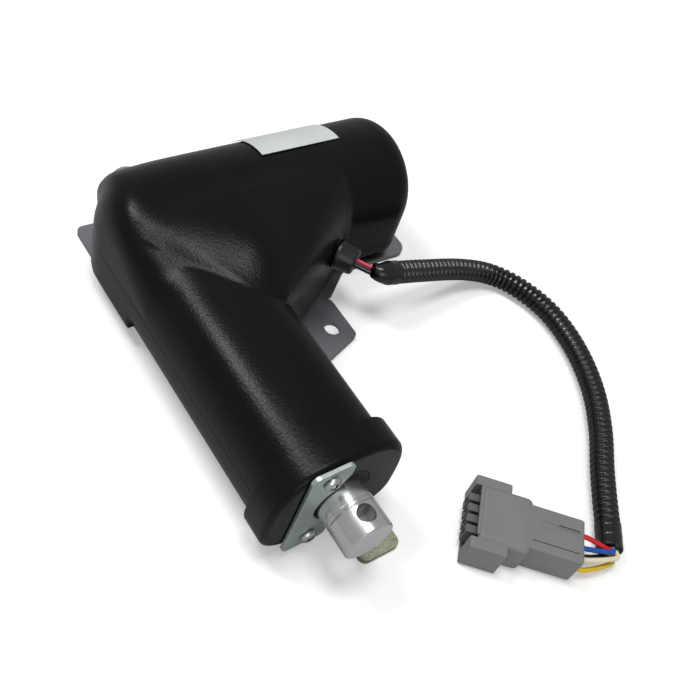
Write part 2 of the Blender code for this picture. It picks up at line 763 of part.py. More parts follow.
def gusset_form(name, inset):
    """Hull of the barrel's flank and the arm's shoulder: the dome between the two."""
    near, far, normal = gusset_wall()
    shrink = BARREL_RADIUS - GUSSET_BELOW_BARREL - inset
    radius = max(FORM_ROUND_MIN, GUSSET_ROUND - inset)
    floor = -GUSSET_FLOOR + inset
    points = []
    for y in (GUSSET_START_Y + inset, 0.0, CROWN_START_Y, GUSSET_END_Y - inset):
        top = shrink - crown_drop(y)
        for step in range(13):
            angle = math.pi * step / 12
            points.append(on_axis(shrink * math.cos(angle), y, top * math.sin(angle)))
        points.append(on_axis(shrink, y, floor))
    reach = inset + radius
    wall_near = near - normal * reach
    wall_far = far - normal * reach
    shoulder = near - Vector((GUSSET_PEAK_BACK, GUSSET_PEAK_INWARD)) - normal * reach
    points += [on_axis(x * MM - inset / 2, y * MM, z * MM - inset) for x, y, z in GUSSET_CREASE]
    shoulder_low = on_axis(0, 0, -PARTING_LEFT_BELOW_AXIS).z
    left = -ARM_HALF_WIDTH + inset
    for share in (0.0, 0.08, 0.2, 0.4, 0.7):
        y = left + share * (GUSSET_START_Y - left)
        points += [point for point in barrel_section(y, inset) if point.x > 0 and point.z > shoulder_low]
    points += [point for point in arm_section(GUSSET_SHOULDER_X, -inset)
               if point.y < -GUSSET_SHOULDER_Y + inset and point.z > shoulder_low]
    tops = ((wall_near, GUSSET_WALL_TOP), (wall_far, GUSSET_FAR_TOP), (shoulder, GUSSET_PEAK_TOP))
    for place, top in tops:
        points += ball_points(on_axis(place.x, place.y, top - reach), radius)
        for step in range(12):
            angle = math.pi / 6 * step
            points.append(on_axis(place.x + radius * math.cos(angle), place.y + radius * math.sin(angle), floor))
    return hull(name, points)


def grommet_place():
    """Where the cable's boot sits on the slanted wall, and the wall's outward direction."""
    near, far, normal = gusset_wall()
    share = (GROMMET_Y - near.y) / (far.y - near.y)
    foot = near.lerp(far, share)
    return on_axis(foot.x, foot.y, -GROMMET_BELOW_AXIS), Vector((normal.x, normal.y, 0.0))


def housing_form(name, inset, front_x):
    """Whole outer form of the closed housing, or its hollow when it is inset by the wall."""
    rear_x = REAR_CORNER_RADIUS - BARREL_RADIUS
    form = barrel_form(name, inset)
    join(form, gusset_form(name + "_gusset", inset), arm_form(name + "_arm", -inset, rear_x, front_x))
    return form


def parting_block(name, rise):
    """Everything below the stepped parting face, which is raised or lowered by a rise."""
    reach = 0.3
    left = on_axis(0, 0, -PARTING_LEFT_BELOW_AXIS + rise).z
    right = on_axis(0, 0, -PARTING_RIGHT_BELOW_AXIS + rise).z
    step_y = PARTING_STEP_Y + rise
    profile = [(-reach, -reach), (reach, -reach), (reach, right), (step_y, right), (step_y, left), (-reach, left)]
    return loft(name, [[Vector((x, y, z)) for y, z in profile] for x in (-reach, reach)])


def screw_places():
    """Plan places of the long screws that hold the plate and both housings together."""
    return [(REAR_BOSS_X, REAR_BOSS_Y), (ARM_BOSS_X, -ARM_BOSS_Y), (ARM_BOSS_X, ARM_BOSS_Y),
            (-END_BOSS_X, END_BOSS_Y), (END_BOSS_X, END_BOSS_Y)]


def post_ribs():
    """Plan corners of the ribs that tie the posts to the side walls and to the barrel's end wall."""
    half = RIB_THICKNESS / 2
    side = ARM_HALF_WIDTH - RIB_FROM_OUTSIDE
    end = BARREL_END_Y - RIB_FROM_END
    return [((ARM_BOSS_X - half, -side), (ARM_BOSS_X + half, -ARM_BOSS_Y)),
            ((ARM_BOSS_X - half, ARM_BOSS_Y), (ARM_BOSS_X + half, side)),
            ((-END_BOSS_X - half, END_BOSS_Y), (-END_BOSS_X + half, end)),
            ((END_BOSS_X - half, END_BOSS_Y), (END_BOSS_X + half, end))]


def housing_foot():
    """Pads under the housing that stand on the mounting plate."""
    under = block("foot", on_axis(FOOT_REAR_X, -FOOT_HALF_WIDTH, -HOUSING_DEPTH),
                  on_axis(CAP_REAR_X - FOOT_FROM_CAP, FOOT_HALF_WIDTH, -ARM_BOTTOM + FOOT_SINK))
    inset = SIDE_FOOT_INSET
    side = block("foot_side", on_axis(SIDE_FOOT_REAR_X, 0, -HOUSING_DEPTH),
                 on_axis(BARREL_RADIUS - inset, BARREL_END_Y - inset, -BARREL_FLOOR + FOOT_SINK))
    return join(under, side)


def build_housings():
    """Upper and lower shells, split at the stepped parting line, with their screw bosses and openings."""
    outer = housing_form("outer_form", 0.0, ARM_END_X)
    join(outer, round_bar("rear_boss_form", on_axis(-BARREL_RADIUS - REAR_BOSS_PROUD), (1, 0, 0),
                          WALL + REAR_BOSS_PROUD, REAR_BOSS_RADIUS))
    join(outer, housing_foot())
    place, normal = grommet_place()
    join(outer, round_bar("cable_collar", place - normal * COLLAR_DEPTH, normal, COLLAR_DEPTH + COLLAR_PROUD,
                          COLLAR_RADIUS))
    cut(outer, housing_form("hollow_form", WALL, ARM_END_X + CUT_OVER))
    join(outer, round_bar("rear_pad", on_axis(-BARREL_RADIUS + WALL / 2), (1, 0, 0), WALL / 2 + REAR_PAD,
                          REAR_PAD_RADIUS))
    for x, y in screw_places():
        join(outer, round_bar("post", on_axis(x, y, -HOUSING_DEPTH), (0, 0, 1),
                              HOUSING_DEPTH + BOSS_TOP + BOSS_CROWN, HOUSING_BOSS_RADIUS, sides=16))
    for low, high in post_ribs():
        join(outer, block("rib", on_axis(*low, -RIB_BELOW_AXIS), on_axis(*high, BOSS_TOP + RIB_CROWN)))
    for x, y in screw_places():
        cut(outer, round_bar("screw_bore", on_axis(x, y, -HOUSING_DEPTH - CUT_OVER), (0, 0, 1),
                             HOUSING_DEPTH + BOSS_TOP + CUT_OVER, HOUSING_SCREW_RADIUS + SEAT_GAP, sides=12))
    cut(outer, round_bar("stud_hole", on_axis(-BARREL_RADIUS - CUT_OVER), (1, 0, 0), CUT_REACH,
                         STUD_RADIUS + SEAT_GAP))
    cut(outer, round_bar("cable_hole", place + normal * CUT_OVER, -normal, CUT_REACH,
                         GROMMET_NECK_RADIUS + SEAT_GAP))

    upper = copy_of(outer, "upper_housing", black_plastic("upper_housing"))
    lower = copy_of(outer, "lower_housing", black_plastic("lower_housing"))
    combine(upper, parting_block("below_parting", SEAT_GAP / 2), "DIFFERENCE")
    combine(lower, parting_block("keep_below", -SEAT_GAP / 2), "INTERSECT")
    bpy.data.objects.remove(outer, do_unlink=True)
    smooth(upper)
    smooth(lower)


# Rear stud, nut and washer


def build_rear_fixing():
    """Stud that holds the screw's rear bush, clamped through the rear wall by a washer and a nut."""
    outer_wall = -BARREL_RADIUS - REAR_BOSS_PROUD
    washer_rear = outer_wall - SEAT_GAP - WASHER_THICKNESS
    nut_rear = washer_rear - SEAT_GAP - NUT_HEIGHT
    stud_rear = nut_rear - STUD_PROUD
    flange_front = STUD_SEAT_X + STUD_FLANGE_LENGTH
    pocket = SCREW_JOURNAL_RADIUS + BUSH_WALL + 2 * SEAT_GAP
    profile = [(stud_rear, 0.0), (stud_rear, STUD_RADIUS - STUD_CHAMFER), (stud_rear + STUD_CHAMFER, STUD_RADIUS),
               (STUD_SEAT_X, STUD_RADIUS), (STUD_SEAT_X, STUD_FLANGE_RADIUS), (flange_front, STUD_FLANGE_RADIUS),
               (flange_front, pocket), (STUD_SEAT_X + STUD_FLOOR, pocket),
               (STUD_SEAT_X + STUD_FLOOR, 0.0)]
    smooth(turned("rear_stud", on_axis(0), (1, 0, 0), profile, steel("rear_stud")))
    smooth(ring("rear_bush", on_axis(STUD_SEAT_X + STUD_FLOOR + SEAT_GAP), (1, 0, 0),
                STUD_FLANGE_LENGTH - STUD_FLOOR - SEAT_GAP, pocket - SEAT_GAP, SCREW_JOURNAL_RADIUS + SPIN_GAP,
                material("rear_bush", (0.55, 0.38, 0.17), 0.35, 1.0)))
    smooth(ring("rear_washer", on_axis(washer_rear), (1, 0, 0), WASHER_THICKNESS, WASHER_RADIUS,
                STUD_RADIUS + SEAT_GAP, material("rear_washer", (0.02, 0.02, 0.02), 0.45, 0.6)))
    across_corners = NUT_ACROSS_FLATS / math.cos(math.pi / 6) / 2
    nut = round_bar("rear_nut", on_axis(nut_rear), (1, 0, 0), NUT_HEIGHT, across_corners, steel("rear_nut"), sides=6)
    outside = across_corners + NUT_CHAMFER / 2
    cone = turned("nut_chamfer", on_axis(nut_rear), (1, 0, 0),
                  [(0.0, 0.0), (0.0, NUT_ACROSS_FLATS / 2 - NUT_CHAMFER), (NUT_HEIGHT * NUT_CHAMFER_SHARE, outside),
                   (NUT_HEIGHT, outside), (NUT_HEIGHT, 0.0)])
    combine(nut, cone, "INTERSECT")
    cut(nut, round_bar("nut_bore", on_axis(nut_rear - CUT_OVER), (1, 0, 0), NUT_HEIGHT + 2 * CUT_OVER,
                       STUD_RADIUS + SEAT_GAP))


# End cap, retainer and rod guide


def cap_plan(grow):
    """Plan outline of the end cap: square at the rear, rounded at both front corners."""
    side = ARM_HALF_WIDTH + CAP_PROUD + grow
    corners = [(CAP_REAR_X, -side), (CAP_REAR_X, side), (CAP_FRONT_X, side), (CAP_FRONT_X, -side)]
    return rounded(corners, [0.0, 0.0, CAP_CORNER_RADIUS, CAP_CORNER_RADIUS], steps=6)


def build_end_cap():
    """Cap over the arm's front end, bored for the rod's guide."""
    cap = arm_form("cap_form", CAP_PROUD, CAP_REAR_X, CAP_FRONT_X)
    plan_frame = Matrix.Translation(on_axis(0))
    combine(cap, sheet("cap_plan", [cap_plan(0.0)], 0.1, plan_frame), "INTERSECT")
    soften(cap, CAP_EDGE, segments=2, angle=60)
    pocket_front = CAP_REAR_X + CAP_LAP + SEAT_GAP
    cut(cap, arm_form("cap_pocket", SEAT_GAP, CAP_REAR_X - CUT_OVER, pocket_front))
    cut(cap, round_bar("cap_bore", on_axis(CAP_REAR_X), (1, 0, 0), CUT_REACH, CAP_BORE_RADIUS))
    for y, z in RETAINER_SCREWS:
        cut(cap, round_bar("cap_screw_hole", on_axis(pocket_front - CUT_OVER, y, z), (1, 0, 0), CUT_REACH,
                           RETAINER_SCREW_RADIUS + SEAT_GAP, sides=12))
    finish(cap, "end_cap", black_plastic("end_cap"))


def retainer_outline():
    """Half plate in Y and Z about the rod's axis: rounded corners, a round notch and flared lips."""
    notch = RETAINER_NOTCH
    start = math.atan2(notch, -RETAINER_LIP_Y)
    sweep = 2 * (math.pi - start)
    angles = [start + sweep * step / 14 for step in range(15)]
    corners = [(-RETAINER_SIDE, -RETAINER_BOTTOM, 3.0), (-RETAINER_SIDE_TOP, RETAINER_TOP, 3.0),
               (RETAINER_EDGE, RETAINER_TOP, 2.5), (RETAINER_EDGE, notch + RETAINER_LIP_Z, 2.5)]
    corners += [(notch * math.cos(angle), notch * math.sin(angle), 0.0) for angle in angles]
    corners += [(RETAINER_EDGE, -notch - RETAINER_LIP_Z, 2.5), (RETAINER_EDGE, -RETAINER_BOTTOM, 2.5)]
    return rounded([(y, z) for y, z, _ in corners], [radius * MM for _, _, radius in corners])


def build_retainer():
    """Half plate screwed to the cap, with a round notch that holds the rod's wiper in."""
    middle_x = CAP_FRONT_X + SEAT_GAP + RETAINER_THICKNESS / 2
    frame = Matrix.Translation(on_axis(middle_x)) @ FACING_FRONT
    holes = [circle(place, RETAINER_SCREW_RADIUS + SEAT_GAP, 12) for place in RETAINER_SCREWS]
    smooth(sheet("retainer_plate", [retainer_outline()] + holes, RETAINER_THICKNESS, frame, zinc("retainer_plate")))
    heads_from = CAP_FRONT_X + RETAINER_THICKNESS + 2 * SEAT_GAP
    screws = [pan_screw(on_axis(heads_from, y, z)) for y, z in RETAINER_SCREWS]
    finish_each("retainer_screw", screws, steel("retainer_screws"))


def pan_screw(place):
    """Pan-head screw with a cross recess; its seat is at the place and its shank points to -X."""
    head = RETAINER_SCREW_HEAD_RADIUS
    length, height = RETAINER_SCREW_LENGTH, PAN_HEAD_HEIGHT
    profile = [(-length, 0.0), (-length, RETAINER_SCREW_RADIUS), (0.0, RETAINER_SCREW_RADIUS), (0.0, head),
               (0.4 * height, head), (0.8 * height, 0.7 * head), (height, 0.3 * head), (height, 0.0)]
    screw = turned("pan_screw", place, (1, 0, 0), profile, sides=12)
    slot, arm = CROSS_SLOT_WIDTH / 2, CROSS_SLOT_LENGTH / 2
    for half in (Vector((height / 2, slot, arm)), Vector((height / 2, arm, slot))):
        centre = place + Vector((height, 0, 0))
        cut(screw, block("cross", centre - half, centre + half))
    return screw


def build_rod_guide():
    """Guide sleeve with a flange behind the cap, and the wiper ring in front of it."""
    sleeve = CAP_BORE_RADIUS - SEAT_GAP
    bore = ROD_RADIUS + SLIDE_GAP
    front = CAP_FRONT_X - WIPER_LENGTH - SEAT_GAP
    rear = front - GUIDE_LENGTH
    profile = [(rear, bore), (rear, sleeve), (front, sleeve), (front, bore)]
    smooth(turned("rod_guide", on_axis(0), (1, 0, 0), profile, material("rod_guide", (0.05, 0.05, 0.05), 0.5),
                  closed=True))
    lip = ROD_RADIUS + SLIDE_GAP
    wiper_front = CAP_FRONT_X
    relief = WIPER_RELIEF
    profile = [(wiper_front - WIPER_LENGTH, lip + relief), (wiper_front - WIPER_LENGTH, sleeve),
               (wiper_front, sleeve), (wiper_front, sleeve - relief), (wiper_front - relief, lip + relief / 2),
               (wiper_front - relief, lip), (wiper_front - 2 * relief, lip)]
    smooth(turned("rod_wiper", on_axis(0), (1, 0, 0), profile, material("rod_wiper", (0.01, 0.01, 0.01), 0.65),
                  closed=True))
    support = rear + GUIDE_SUPPORT_FROM_REAR
    arm_bulkhead("guide_support", support, support + GUIDE_SUPPORT_THICKNESS, CAP_BORE_RADIUS)


def arm_bulkhead(name, rear, front, bore):
    """Plate across the arm's hollow with a round seat on the rod's axis."""
    plate = arm_form(name + "_form", -WALL - SEAT_GAP, rear, front)
    cut(plate, round_bar("seat", on_axis(rear - CUT_OVER), (1, 0, 0), front - rear + 2 * CUT_OVER, bore))
    finish(plate, name, material(name, (0.08, 0.08, 0.08), 0.5))


# Rod, nut and lead screw


def build_rod():
    """Turned rod with a blind bore for the screw, a groove and a cross hole near its tip."""
    groove = ROD_TIP_X - ROD_GROOVE_FROM_TIP
    waist = ROD_RADIUS - ROD_GROOVE_DEPTH
    socket = NUT_SPIGOT_RADIUS + SEAT_GAP
    socket_front = ROD_REAR_X + NUT_SPIGOT_LENGTH + SEAT_GAP
    profile = [(ROD_TIP_X, 0.0), (ROD_TIP_X, ROD_RADIUS - ROD_CHAMFER), (ROD_TIP_X - ROD_CHAMFER, ROD_RADIUS),
               (groove + ROD_CHAMFER, ROD_RADIUS), (groove, waist), (groove - ROD_GROOVE_WIDTH, waist),
               (groove - ROD_GROOVE_WIDTH, ROD_RADIUS), (ROD_REAR_X, ROD_RADIUS), (ROD_REAR_X, socket),
               (socket_front, socket), (socket_front, ROD_BORE_RADIUS), (ROD_BORE_FRONT_X, ROD_BORE_RADIUS),
               (ROD_BORE_FRONT_X, 0.0)]
    rod = turned("rod_form", on_axis(0), (1, 0, 0), profile, sides=32)
    hole = on_axis(ROD_TIP_X - ROD_HOLE_FROM_TIP, 0, -2 * ROD_RADIUS)
    cut(rod, round_bar("rod_hole", hole, (0, 0, 1), 4 * ROD_RADIUS, ROD_HOLE_RADIUS))
    finish(rod, "actuator_rod", material("actuator_rod", (0.62, 0.62, 0.60), 0.28, 1.0))


def build_drive_nut():
    """Flanged nut on the screw; its spigot seats in the rod and its shoe drives the position sensor."""
    rear = ROD_REAR_X - SEAT_GAP - NUT_LENGTH
    profile = [(rear, NUT_BORE_RADIUS), (rear, NUT_RADIUS), (rear + NUT_LENGTH, NUT_RADIUS),
               (rear + NUT_LENGTH, NUT_SPIGOT_RADIUS), (ROD_REAR_X + NUT_SPIGOT_LENGTH, NUT_SPIGOT_RADIUS),
               (ROD_REAR_X + NUT_SPIGOT_LENGTH, NUT_BORE_RADIUS)]
    nut = turned("nut_form", on_axis(0), (1, 0, 0), profile, closed=True)
    seat_front = rear + SHOE_FROM_NUT + SHOE_LENGTH
    low = Vector((rear + SHOE_FROM_NUT, -SHOE_HALF_WIDTH - SEAT_GAP, AXIS_HEIGHT - NUT_RADIUS - CUT_OVER))
    high = Vector((seat_front, SHOE_HALF_WIDTH + SEAT_GAP, AXIS_HEIGHT - NUT_RADIUS + SHOE_SEAT_DEPTH))
    cut(nut, block("shoe_seat", low, high))
    finish(nut, "drive_nut", material("drive_nut", (0.70, 0.68, 0.60), 0.45))
    shoe_low = Vector((low.x + SEAT_GAP, -SHOE_HALF_WIDTH, AXIS_HEIGHT - SENSOR_TOP + SEAT_GAP))
    shoe_high = Vector((high.x - SEAT_GAP, SHOE_HALF_WIDTH, high.z - SEAT_GAP))
    shoe = block("shoe_form", shoe_low, shoe_high)
    middle = (low.x + high.x) / 2
    finger_floor = AXIS_HEIGHT - SENSOR_TOP - SENSOR_SLOT_DEPTH + 2 * SEAT_GAP
    finger_low = Vector((middle - FINGER_LENGTH / 2, -SENSOR_SLOT / 2 + SEAT_GAP, finger_floor))
    finger_high = Vector((middle + FINGER_LENGTH / 2, SENSOR_SLOT / 2 - SEAT_GAP, shoe_low.z + SEAT_GAP))
    join(shoe, block("finger", finger_low, finger_high))
    finish(shoe, "sensor_shoe", material("sensor_shoe", (0.75, 0.72, 0.65), 0.5))


def build_lead_screw():
    """Plain screw from the rear bush to just past the nut at full stroke."""
    journal_rear = STUD_SEAT_X + STUD_FLOOR + 2 * SEAT_GAP
    journal_front = STUD_SEAT_X + STUD_FLANGE_LENGTH + SEAT_GAP
    profile = [(journal_rear, 0.0), (journal_rear, SCREW_JOURNAL_RADIUS), (journal_front, SCREW_JOURNAL_RADIUS),
               (journal_front, SCREW_RADIUS), (SCREW_FRONT_X - SCREW_CHAMFER, SCREW_RADIUS),
               (SCREW_FRONT_X, SCREW_RADIUS - SCREW_CHAMFER), (SCREW_FRONT_X, 0.0)]
    finish(turned("screw_form", on_axis(0), (1, 0, 0), profile), "lead_screw", steel("lead_screw"))


def build_front_bearing():
    """Bulkhead and bearing that carry the screw in front of its gear."""
    rear = FACE_GEAR_BACK + BEARING_FROM_GEAR
    arm_bulkhead("bearing_plate", rear, rear + BEARING_LENGTH, BEARING_RADIUS + SEAT_GAP)
    smooth(ring("front_bearing", on_axis(rear), (1, 0, 0), BEARING_LENGTH, BEARING_RADIUS, SCREW_RADIUS + SPIN_GAP,
                steel("front_bearing")))
    smooth(ring("thrust_washer", on_axis(FACE_GEAR_BACK + SPIN_GAP), (1, 0, 0),
                BEARING_FROM_GEAR - 2 * SPIN_GAP, THRUST_WASHER_RADIUS, SCREW_RADIUS + SPIN_GAP,
                material("thrust_washer", (0.45, 0.32, 0.15), 0.35, 1.0)))


# Gears


def tooth_half_width(above_pitch):
    """Half thickness of a tooth at a height above its pitch line."""
    return TOOTH_SHARE * math.pi * GEAR_MODULE / 2 - above_pitch * math.tan(TOOTH_SLOPE)


def build_pinion():
    """Small spur gear pressed on the motor's shaft."""
    rear = FACE_GEAR_PITCH_RADIUS - GEAR_FACE_WIDTH / 2
    root = PINION_PITCH_RADIUS - PINION_DEDENDUM
    tip = PINION_PITCH_RADIUS + PINION_ADDENDUM
    outline = []
    for tooth in range(PINION_TEETH):
        centre = 2 * math.pi * (tooth + 0.5) / PINION_TEETH
        for radius, side in ((root, -1), (tip, -1), (tip, 1), (root, 1)):
            half = tooth_half_width(radius - PINION_PITCH_RADIUS) / radius
            angle = centre + side * half
            outline.append((radius * math.cos(angle), radius * math.sin(angle)))
    frame = Matrix.Translation(on_axis(0, rear + GEAR_FACE_WIDTH / 2)) @ Matrix.Rotation(math.pi / 2, 4, "X")
    bore = circle((0, 0), MOTOR_SHAFT_RADIUS + SEAT_GAP, 20)
    smooth(sheet("motor_pinion", [outline, bore], GEAR_FACE_WIDTH, frame, steel("motor_pinion")))


def build_face_gear():
    """Disc on the screw whose teeth face the motor's pinion."""
    inner = FACE_GEAR_PITCH_RADIUS - GEAR_FACE_WIDTH / 2
    outer = FACE_GEAR_PITCH_RADIUS + GEAR_FACE_WIDTH / 2
    tip_x = PINION_PITCH_RADIUS - FACE_ADDENDUM
    gear = ring("face_gear_form", on_axis(FACE_GEAR_ROOT_X), (1, 0, 0), FACE_GEAR_DISC, outer + FACE_GEAR_RIM,
                SCREW_RADIUS + SEAT_GAP)
    teeth = []
    for tooth in range(FACE_GEAR_TEETH):
        turn = Matrix.Rotation(2 * math.pi * tooth / FACE_GEAR_TEETH, 3, "X")
        wide = tooth_half_width(-FACE_DEDENDUM)
        narrow = tooth_half_width(FACE_ADDENDUM)
        corners = []
        for y in (inner, outer):
            for x, half in ((FACE_GEAR_ROOT_X + TOOTH_SINK, wide), (tip_x, narrow)):
                corners += [on_axis(0) + turn @ Vector((x, y, side * half)) for side in (-1, 1)]
        teeth.append(hull("tooth", corners))
    join(gear, *teeth)
    finish(gear, "face_gear", material("face_gear", (0.78, 0.76, 0.70), 0.5))


# Motor


def build_motor():
    """Brushed motor: steel can, end bell, magnets, brush ring and turning armature."""
    bore = MOTOR_SHAFT_RADIUS + SPIN_GAP
    inside = MOTOR_RADIUS - MOTOR_WALL
    front = MOTOR_FRONT_Y
    profile = [(front - MOTOR_BOSS_LENGTH, bore), (front - MOTOR_BOSS_LENGTH, MOTOR_BOSS_RADIUS),
               (front, MOTOR_BOSS_RADIUS), (front, MOTOR_RADIUS), (MOTOR_END_Y, MOTOR_RADIUS),
               (MOTOR_END_Y, inside), (front + MOTOR_WALL, inside), (front + MOTOR_WALL, bore)]
    smooth(turned("motor_can", on_axis(0), (0, 1, 0), profile, steel("motor_can"), closed=True))
    bell = MOTOR_END_Y - END_BELL_THICKNESS
    profile = [(bell, bore), (bell, BELL_RADIUS), (MOTOR_END_Y, BELL_RADIUS), (MOTOR_END_Y, MOTOR_BOSS_RADIUS),
               (MOTOR_END_Y + BELL_BOSS_LENGTH, MOTOR_BOSS_RADIUS), (MOTOR_END_Y + BELL_BOSS_LENGTH, bore)]
    smooth(turned("motor_end_bell", on_axis(0), (0, 1, 0), profile,
                  material("motor_end_bell", (0.10, 0.10, 0.10), 0.5), closed=True))
    brush_front = bell - SEAT_GAP - BRUSH_RING_LENGTH
    smooth(ring("brush_ring", on_axis(0, brush_front), (0, 1, 0), BRUSH_RING_LENGTH, BELL_RADIUS,
                COMMUTATOR_RADIUS + SPIN_GAP, material("brush_ring", (0.25, 0.16, 0.08), 0.6)))
    magnet_outer = inside - SEAT_GAP
    magnet_inner = magnet_outer - MAGNET_THICKNESS
    magnet_front = front + MOTOR_WALL + MAGNET_FROM_FRONT
    magnet_rear = brush_front - MAGNET_FROM_BRUSHES
    halves = []
    for side in (-1, 1):
        outline = [(magnet_outer * math.cos(a), magnet_outer * math.sin(a)) for a in MAGNET_ANGLES]
        outline += [(magnet_inner * math.cos(a), magnet_inner * math.sin(a)) for a in reversed(MAGNET_ANGLES)]
        rings = [[on_axis(side * x, y, z) for x, z in outline] for y in (magnet_front, magnet_rear)]
        halves.append(loft("magnet", rings))
    finish_each("motor_magnet", halves, material("motor_magnets", (0.06, 0.06, 0.06), 0.6))
    core = magnet_inner - ROTOR_AIR_GAP
    tip_y = FACE_GEAR_PITCH_RADIUS - GEAR_FACE_WIDTH / 2 - SHAFT_PAST_PINION
    end_y = MOTOR_END_Y + BELL_BOSS_LENGTH - SHAFT_PAST_PINION
    commutator_rear = bell - 3 * SEAT_GAP
    profile = [(tip_y, 0.0), (tip_y, MOTOR_SHAFT_RADIUS), (magnet_front, MOTOR_SHAFT_RADIUS), (magnet_front, core),
               (magnet_rear, core), (magnet_rear, COMMUTATOR_RADIUS), (commutator_rear, COMMUTATOR_RADIUS),
               (commutator_rear, MOTOR_SHAFT_RADIUS),
               (end_y, MOTOR_SHAFT_RADIUS), (end_y, 0.0)]
    finish(turned("armature_form", on_axis(0), (0, 1, 0), profile), "motor_armature",
           material("motor_armature", (0.45, 0.25, 0.12), 0.4, 1.0))


def build_motor_mounts():
    """Two moulded saddles that fill the barrel round the motor."""
    for name, rear in (("motor_mount_front", MOTOR_FRONT_Y + MOUNT_FROM_MOTOR_END),
                       ("motor_mount_rear", MOTOR_END_Y - MOUNT_FROM_MOTOR_END - MOTOR_MOUNT_WIDTH)):
        stations = (rear, rear + MOTOR_MOUNT_WIDTH)
        mount = loft(name + "_form", [barrel_section(y, WALL + SEAT_GAP) for y in stations])
        cut(mount, round_bar("seat", on_axis(0, rear - CUT_OVER), (0, 1, 0), MOTOR_MOUNT_WIDTH + 2 * CUT_OVER,
                             MOTOR_RADIUS + SEAT_GAP))
        finish(mount, name, material(name, (0.03, 0.03, 0.03), 0.7))


def build_position_sensor():
    """Slide sensor on the floor of the arm, with a slot that the nut's shoe runs in."""
    half = SENSOR_WIDTH / 2
    top = -SENSOR_TOP
    floor = -(ARM_BOTTOM - WALL) + SEAT_GAP + SLIDE_GAP
    rear = ROD_REAR_X - NUT_LENGTH - SENSOR_PAST_STROKE
    front = ROD_REAR_X + ROD_STROKE + SENSOR_PAST_STROKE
    sensor = block("sensor_form", on_axis(rear, -half, floor), on_axis(front, half, top))
    slot = SENSOR_SLOT / 2
    wall = SENSOR_END_WALL
    cut(sensor, block("slot", on_axis(rear + wall, -slot, top - SENSOR_SLOT_DEPTH),
                      on_axis(front - wall, slot, top + CUT_OVER)))
    finish(sensor, "position_sensor", material("position_sensor", (0.05, 0.12, 0.09), 0.5))


# Mounting plate and housing screws


def plate_outline():
    """Plan of the mounting plate: a flange behind the barrel and ears beside and before the arm."""
    ear_left, ear_right = FRONT_EAR_Y - FRONT_EAR_HALF, FRONT_EAR_Y + FRONT_EAR_HALF
    turn = PLATE_CORNER_RADIUS
    corners = [(PLATE_REAR_X, PLATE_LEFT_Y, turn / 2), (PLATE_ARM_END_X, PLATE_LEFT_Y, turn),
               (PLATE_ARM_END_X, ear_left, turn / 2), (FRONT_EAR_X, ear_left, turn / 2),
               (FRONT_EAR_X, ear_right, turn / 2), (SIDE_EAR_FOOT_X, ear_right, turn),
               (SIDE_EAR_X, SIDE_EAR_Y, turn / 2), *SIDE_EAR_END, (PLATE_END_X, PLATE_END_Y, turn),
               (PLATE_REAR_X, PLATE_END_Y, turn)]
    return rounded([(x, y) for x, y, _ in corners], [radius for _, _, radius in corners])


def mount_holes():
    return [(FRONT_EAR_X - FRONT_HOLE_FROM_END, FRONT_EAR_Y), (SIDE_HOLE_X, SIDE_HOLE_Y)]


def build_plate():
    """Zinc-plated steel plate; the long screws' heads sit flush in its underside."""
    holes = [circle(place, MOUNT_HOLE_RADIUS) for place in mount_holes()]
    frame = Matrix.Translation((0, 0, PLATE_THICKNESS / 2))
    plate = sheet("plate_form", [plate_outline()] + holes, PLATE_THICKNESS, frame)
    mouth = HOUSING_SCREW_HEAD_RADIUS + SEAT_GAP + CUT_OVER
    bore = HOUSING_SCREW_RADIUS + SEAT_GAP
    above = PLATE_THICKNESS + CUT_OVER
    profile = [(-CUT_OVER, 0.0), (-CUT_OVER, mouth), (HOUSING_SCREW_HEAD_END, bore), (above, bore), (above, 0.0)]
    for x, y in screw_places():
        cut(plate, turned("countersink", Vector((x, y, 0)), (0, 0, 1), profile, sides=12))
    finish(plate, "mounting_plate", zinc("mounting_plate"))


def build_housing_screws():
    """Countersunk screws from the plate's underside up into the upper housing."""
    head = HOUSING_SCREW_HEAD_RADIUS
    shank = HOUSING_SCREW_RADIUS
    inset = HOUSING_SCREW_HEAD_INSET
    tip = HOUSING_SCREW_TIP
    top = AXIS_HEIGHT + BOSS_TOP - CUT_OVER
    profile = [(inset, 0.0), (inset, head - inset), (HOUSING_SCREW_HEAD_END, shank), (top - tip, shank),
               (top, shank - tip), (top, 0.0)]
    screws = []
    for x, y in screw_places():
        screw = turned("housing_screw", Vector((x, y, 0)), (0, 0, 1), profile, sides=12)
        socket = Vector((x, y, -CUT_OVER))
        cut(screw, round_bar("socket", socket, (0, 0, 1), HEX_SOCKET_TOP + CUT_OVER, HEX_SOCKET_RADIUS, sides=6))
        screws.append(screw)
    finish_each("housing_screw", screws, steel("housing_screws"))


# Label, boot, cable and plug


def build_label():
    """Bare silver label bent over the barrel's top."""
    inner = BARREL_RADIUS + SEAT_GAP
    outer = inner + LABEL_THICKNESS
    sections = []
    for y in (LABEL_START_Y, LABEL_END_Y):
        angles = [LABEL_START + (LABEL_END - LABEL_START) * step / 14 for step in range(15)]
        section = [on_axis(outer * math.cos(a), y, outer * math.sin(a)) for a in angles]
        section += [on_axis(inner * math.cos(a), y, inner * math.sin(a)) for a in reversed(angles)]
        sections.append(section)
    finish(loft("label_form", sections), "label", material("label", (0.62, 0.63, 0.62), 0.4, 0.3))


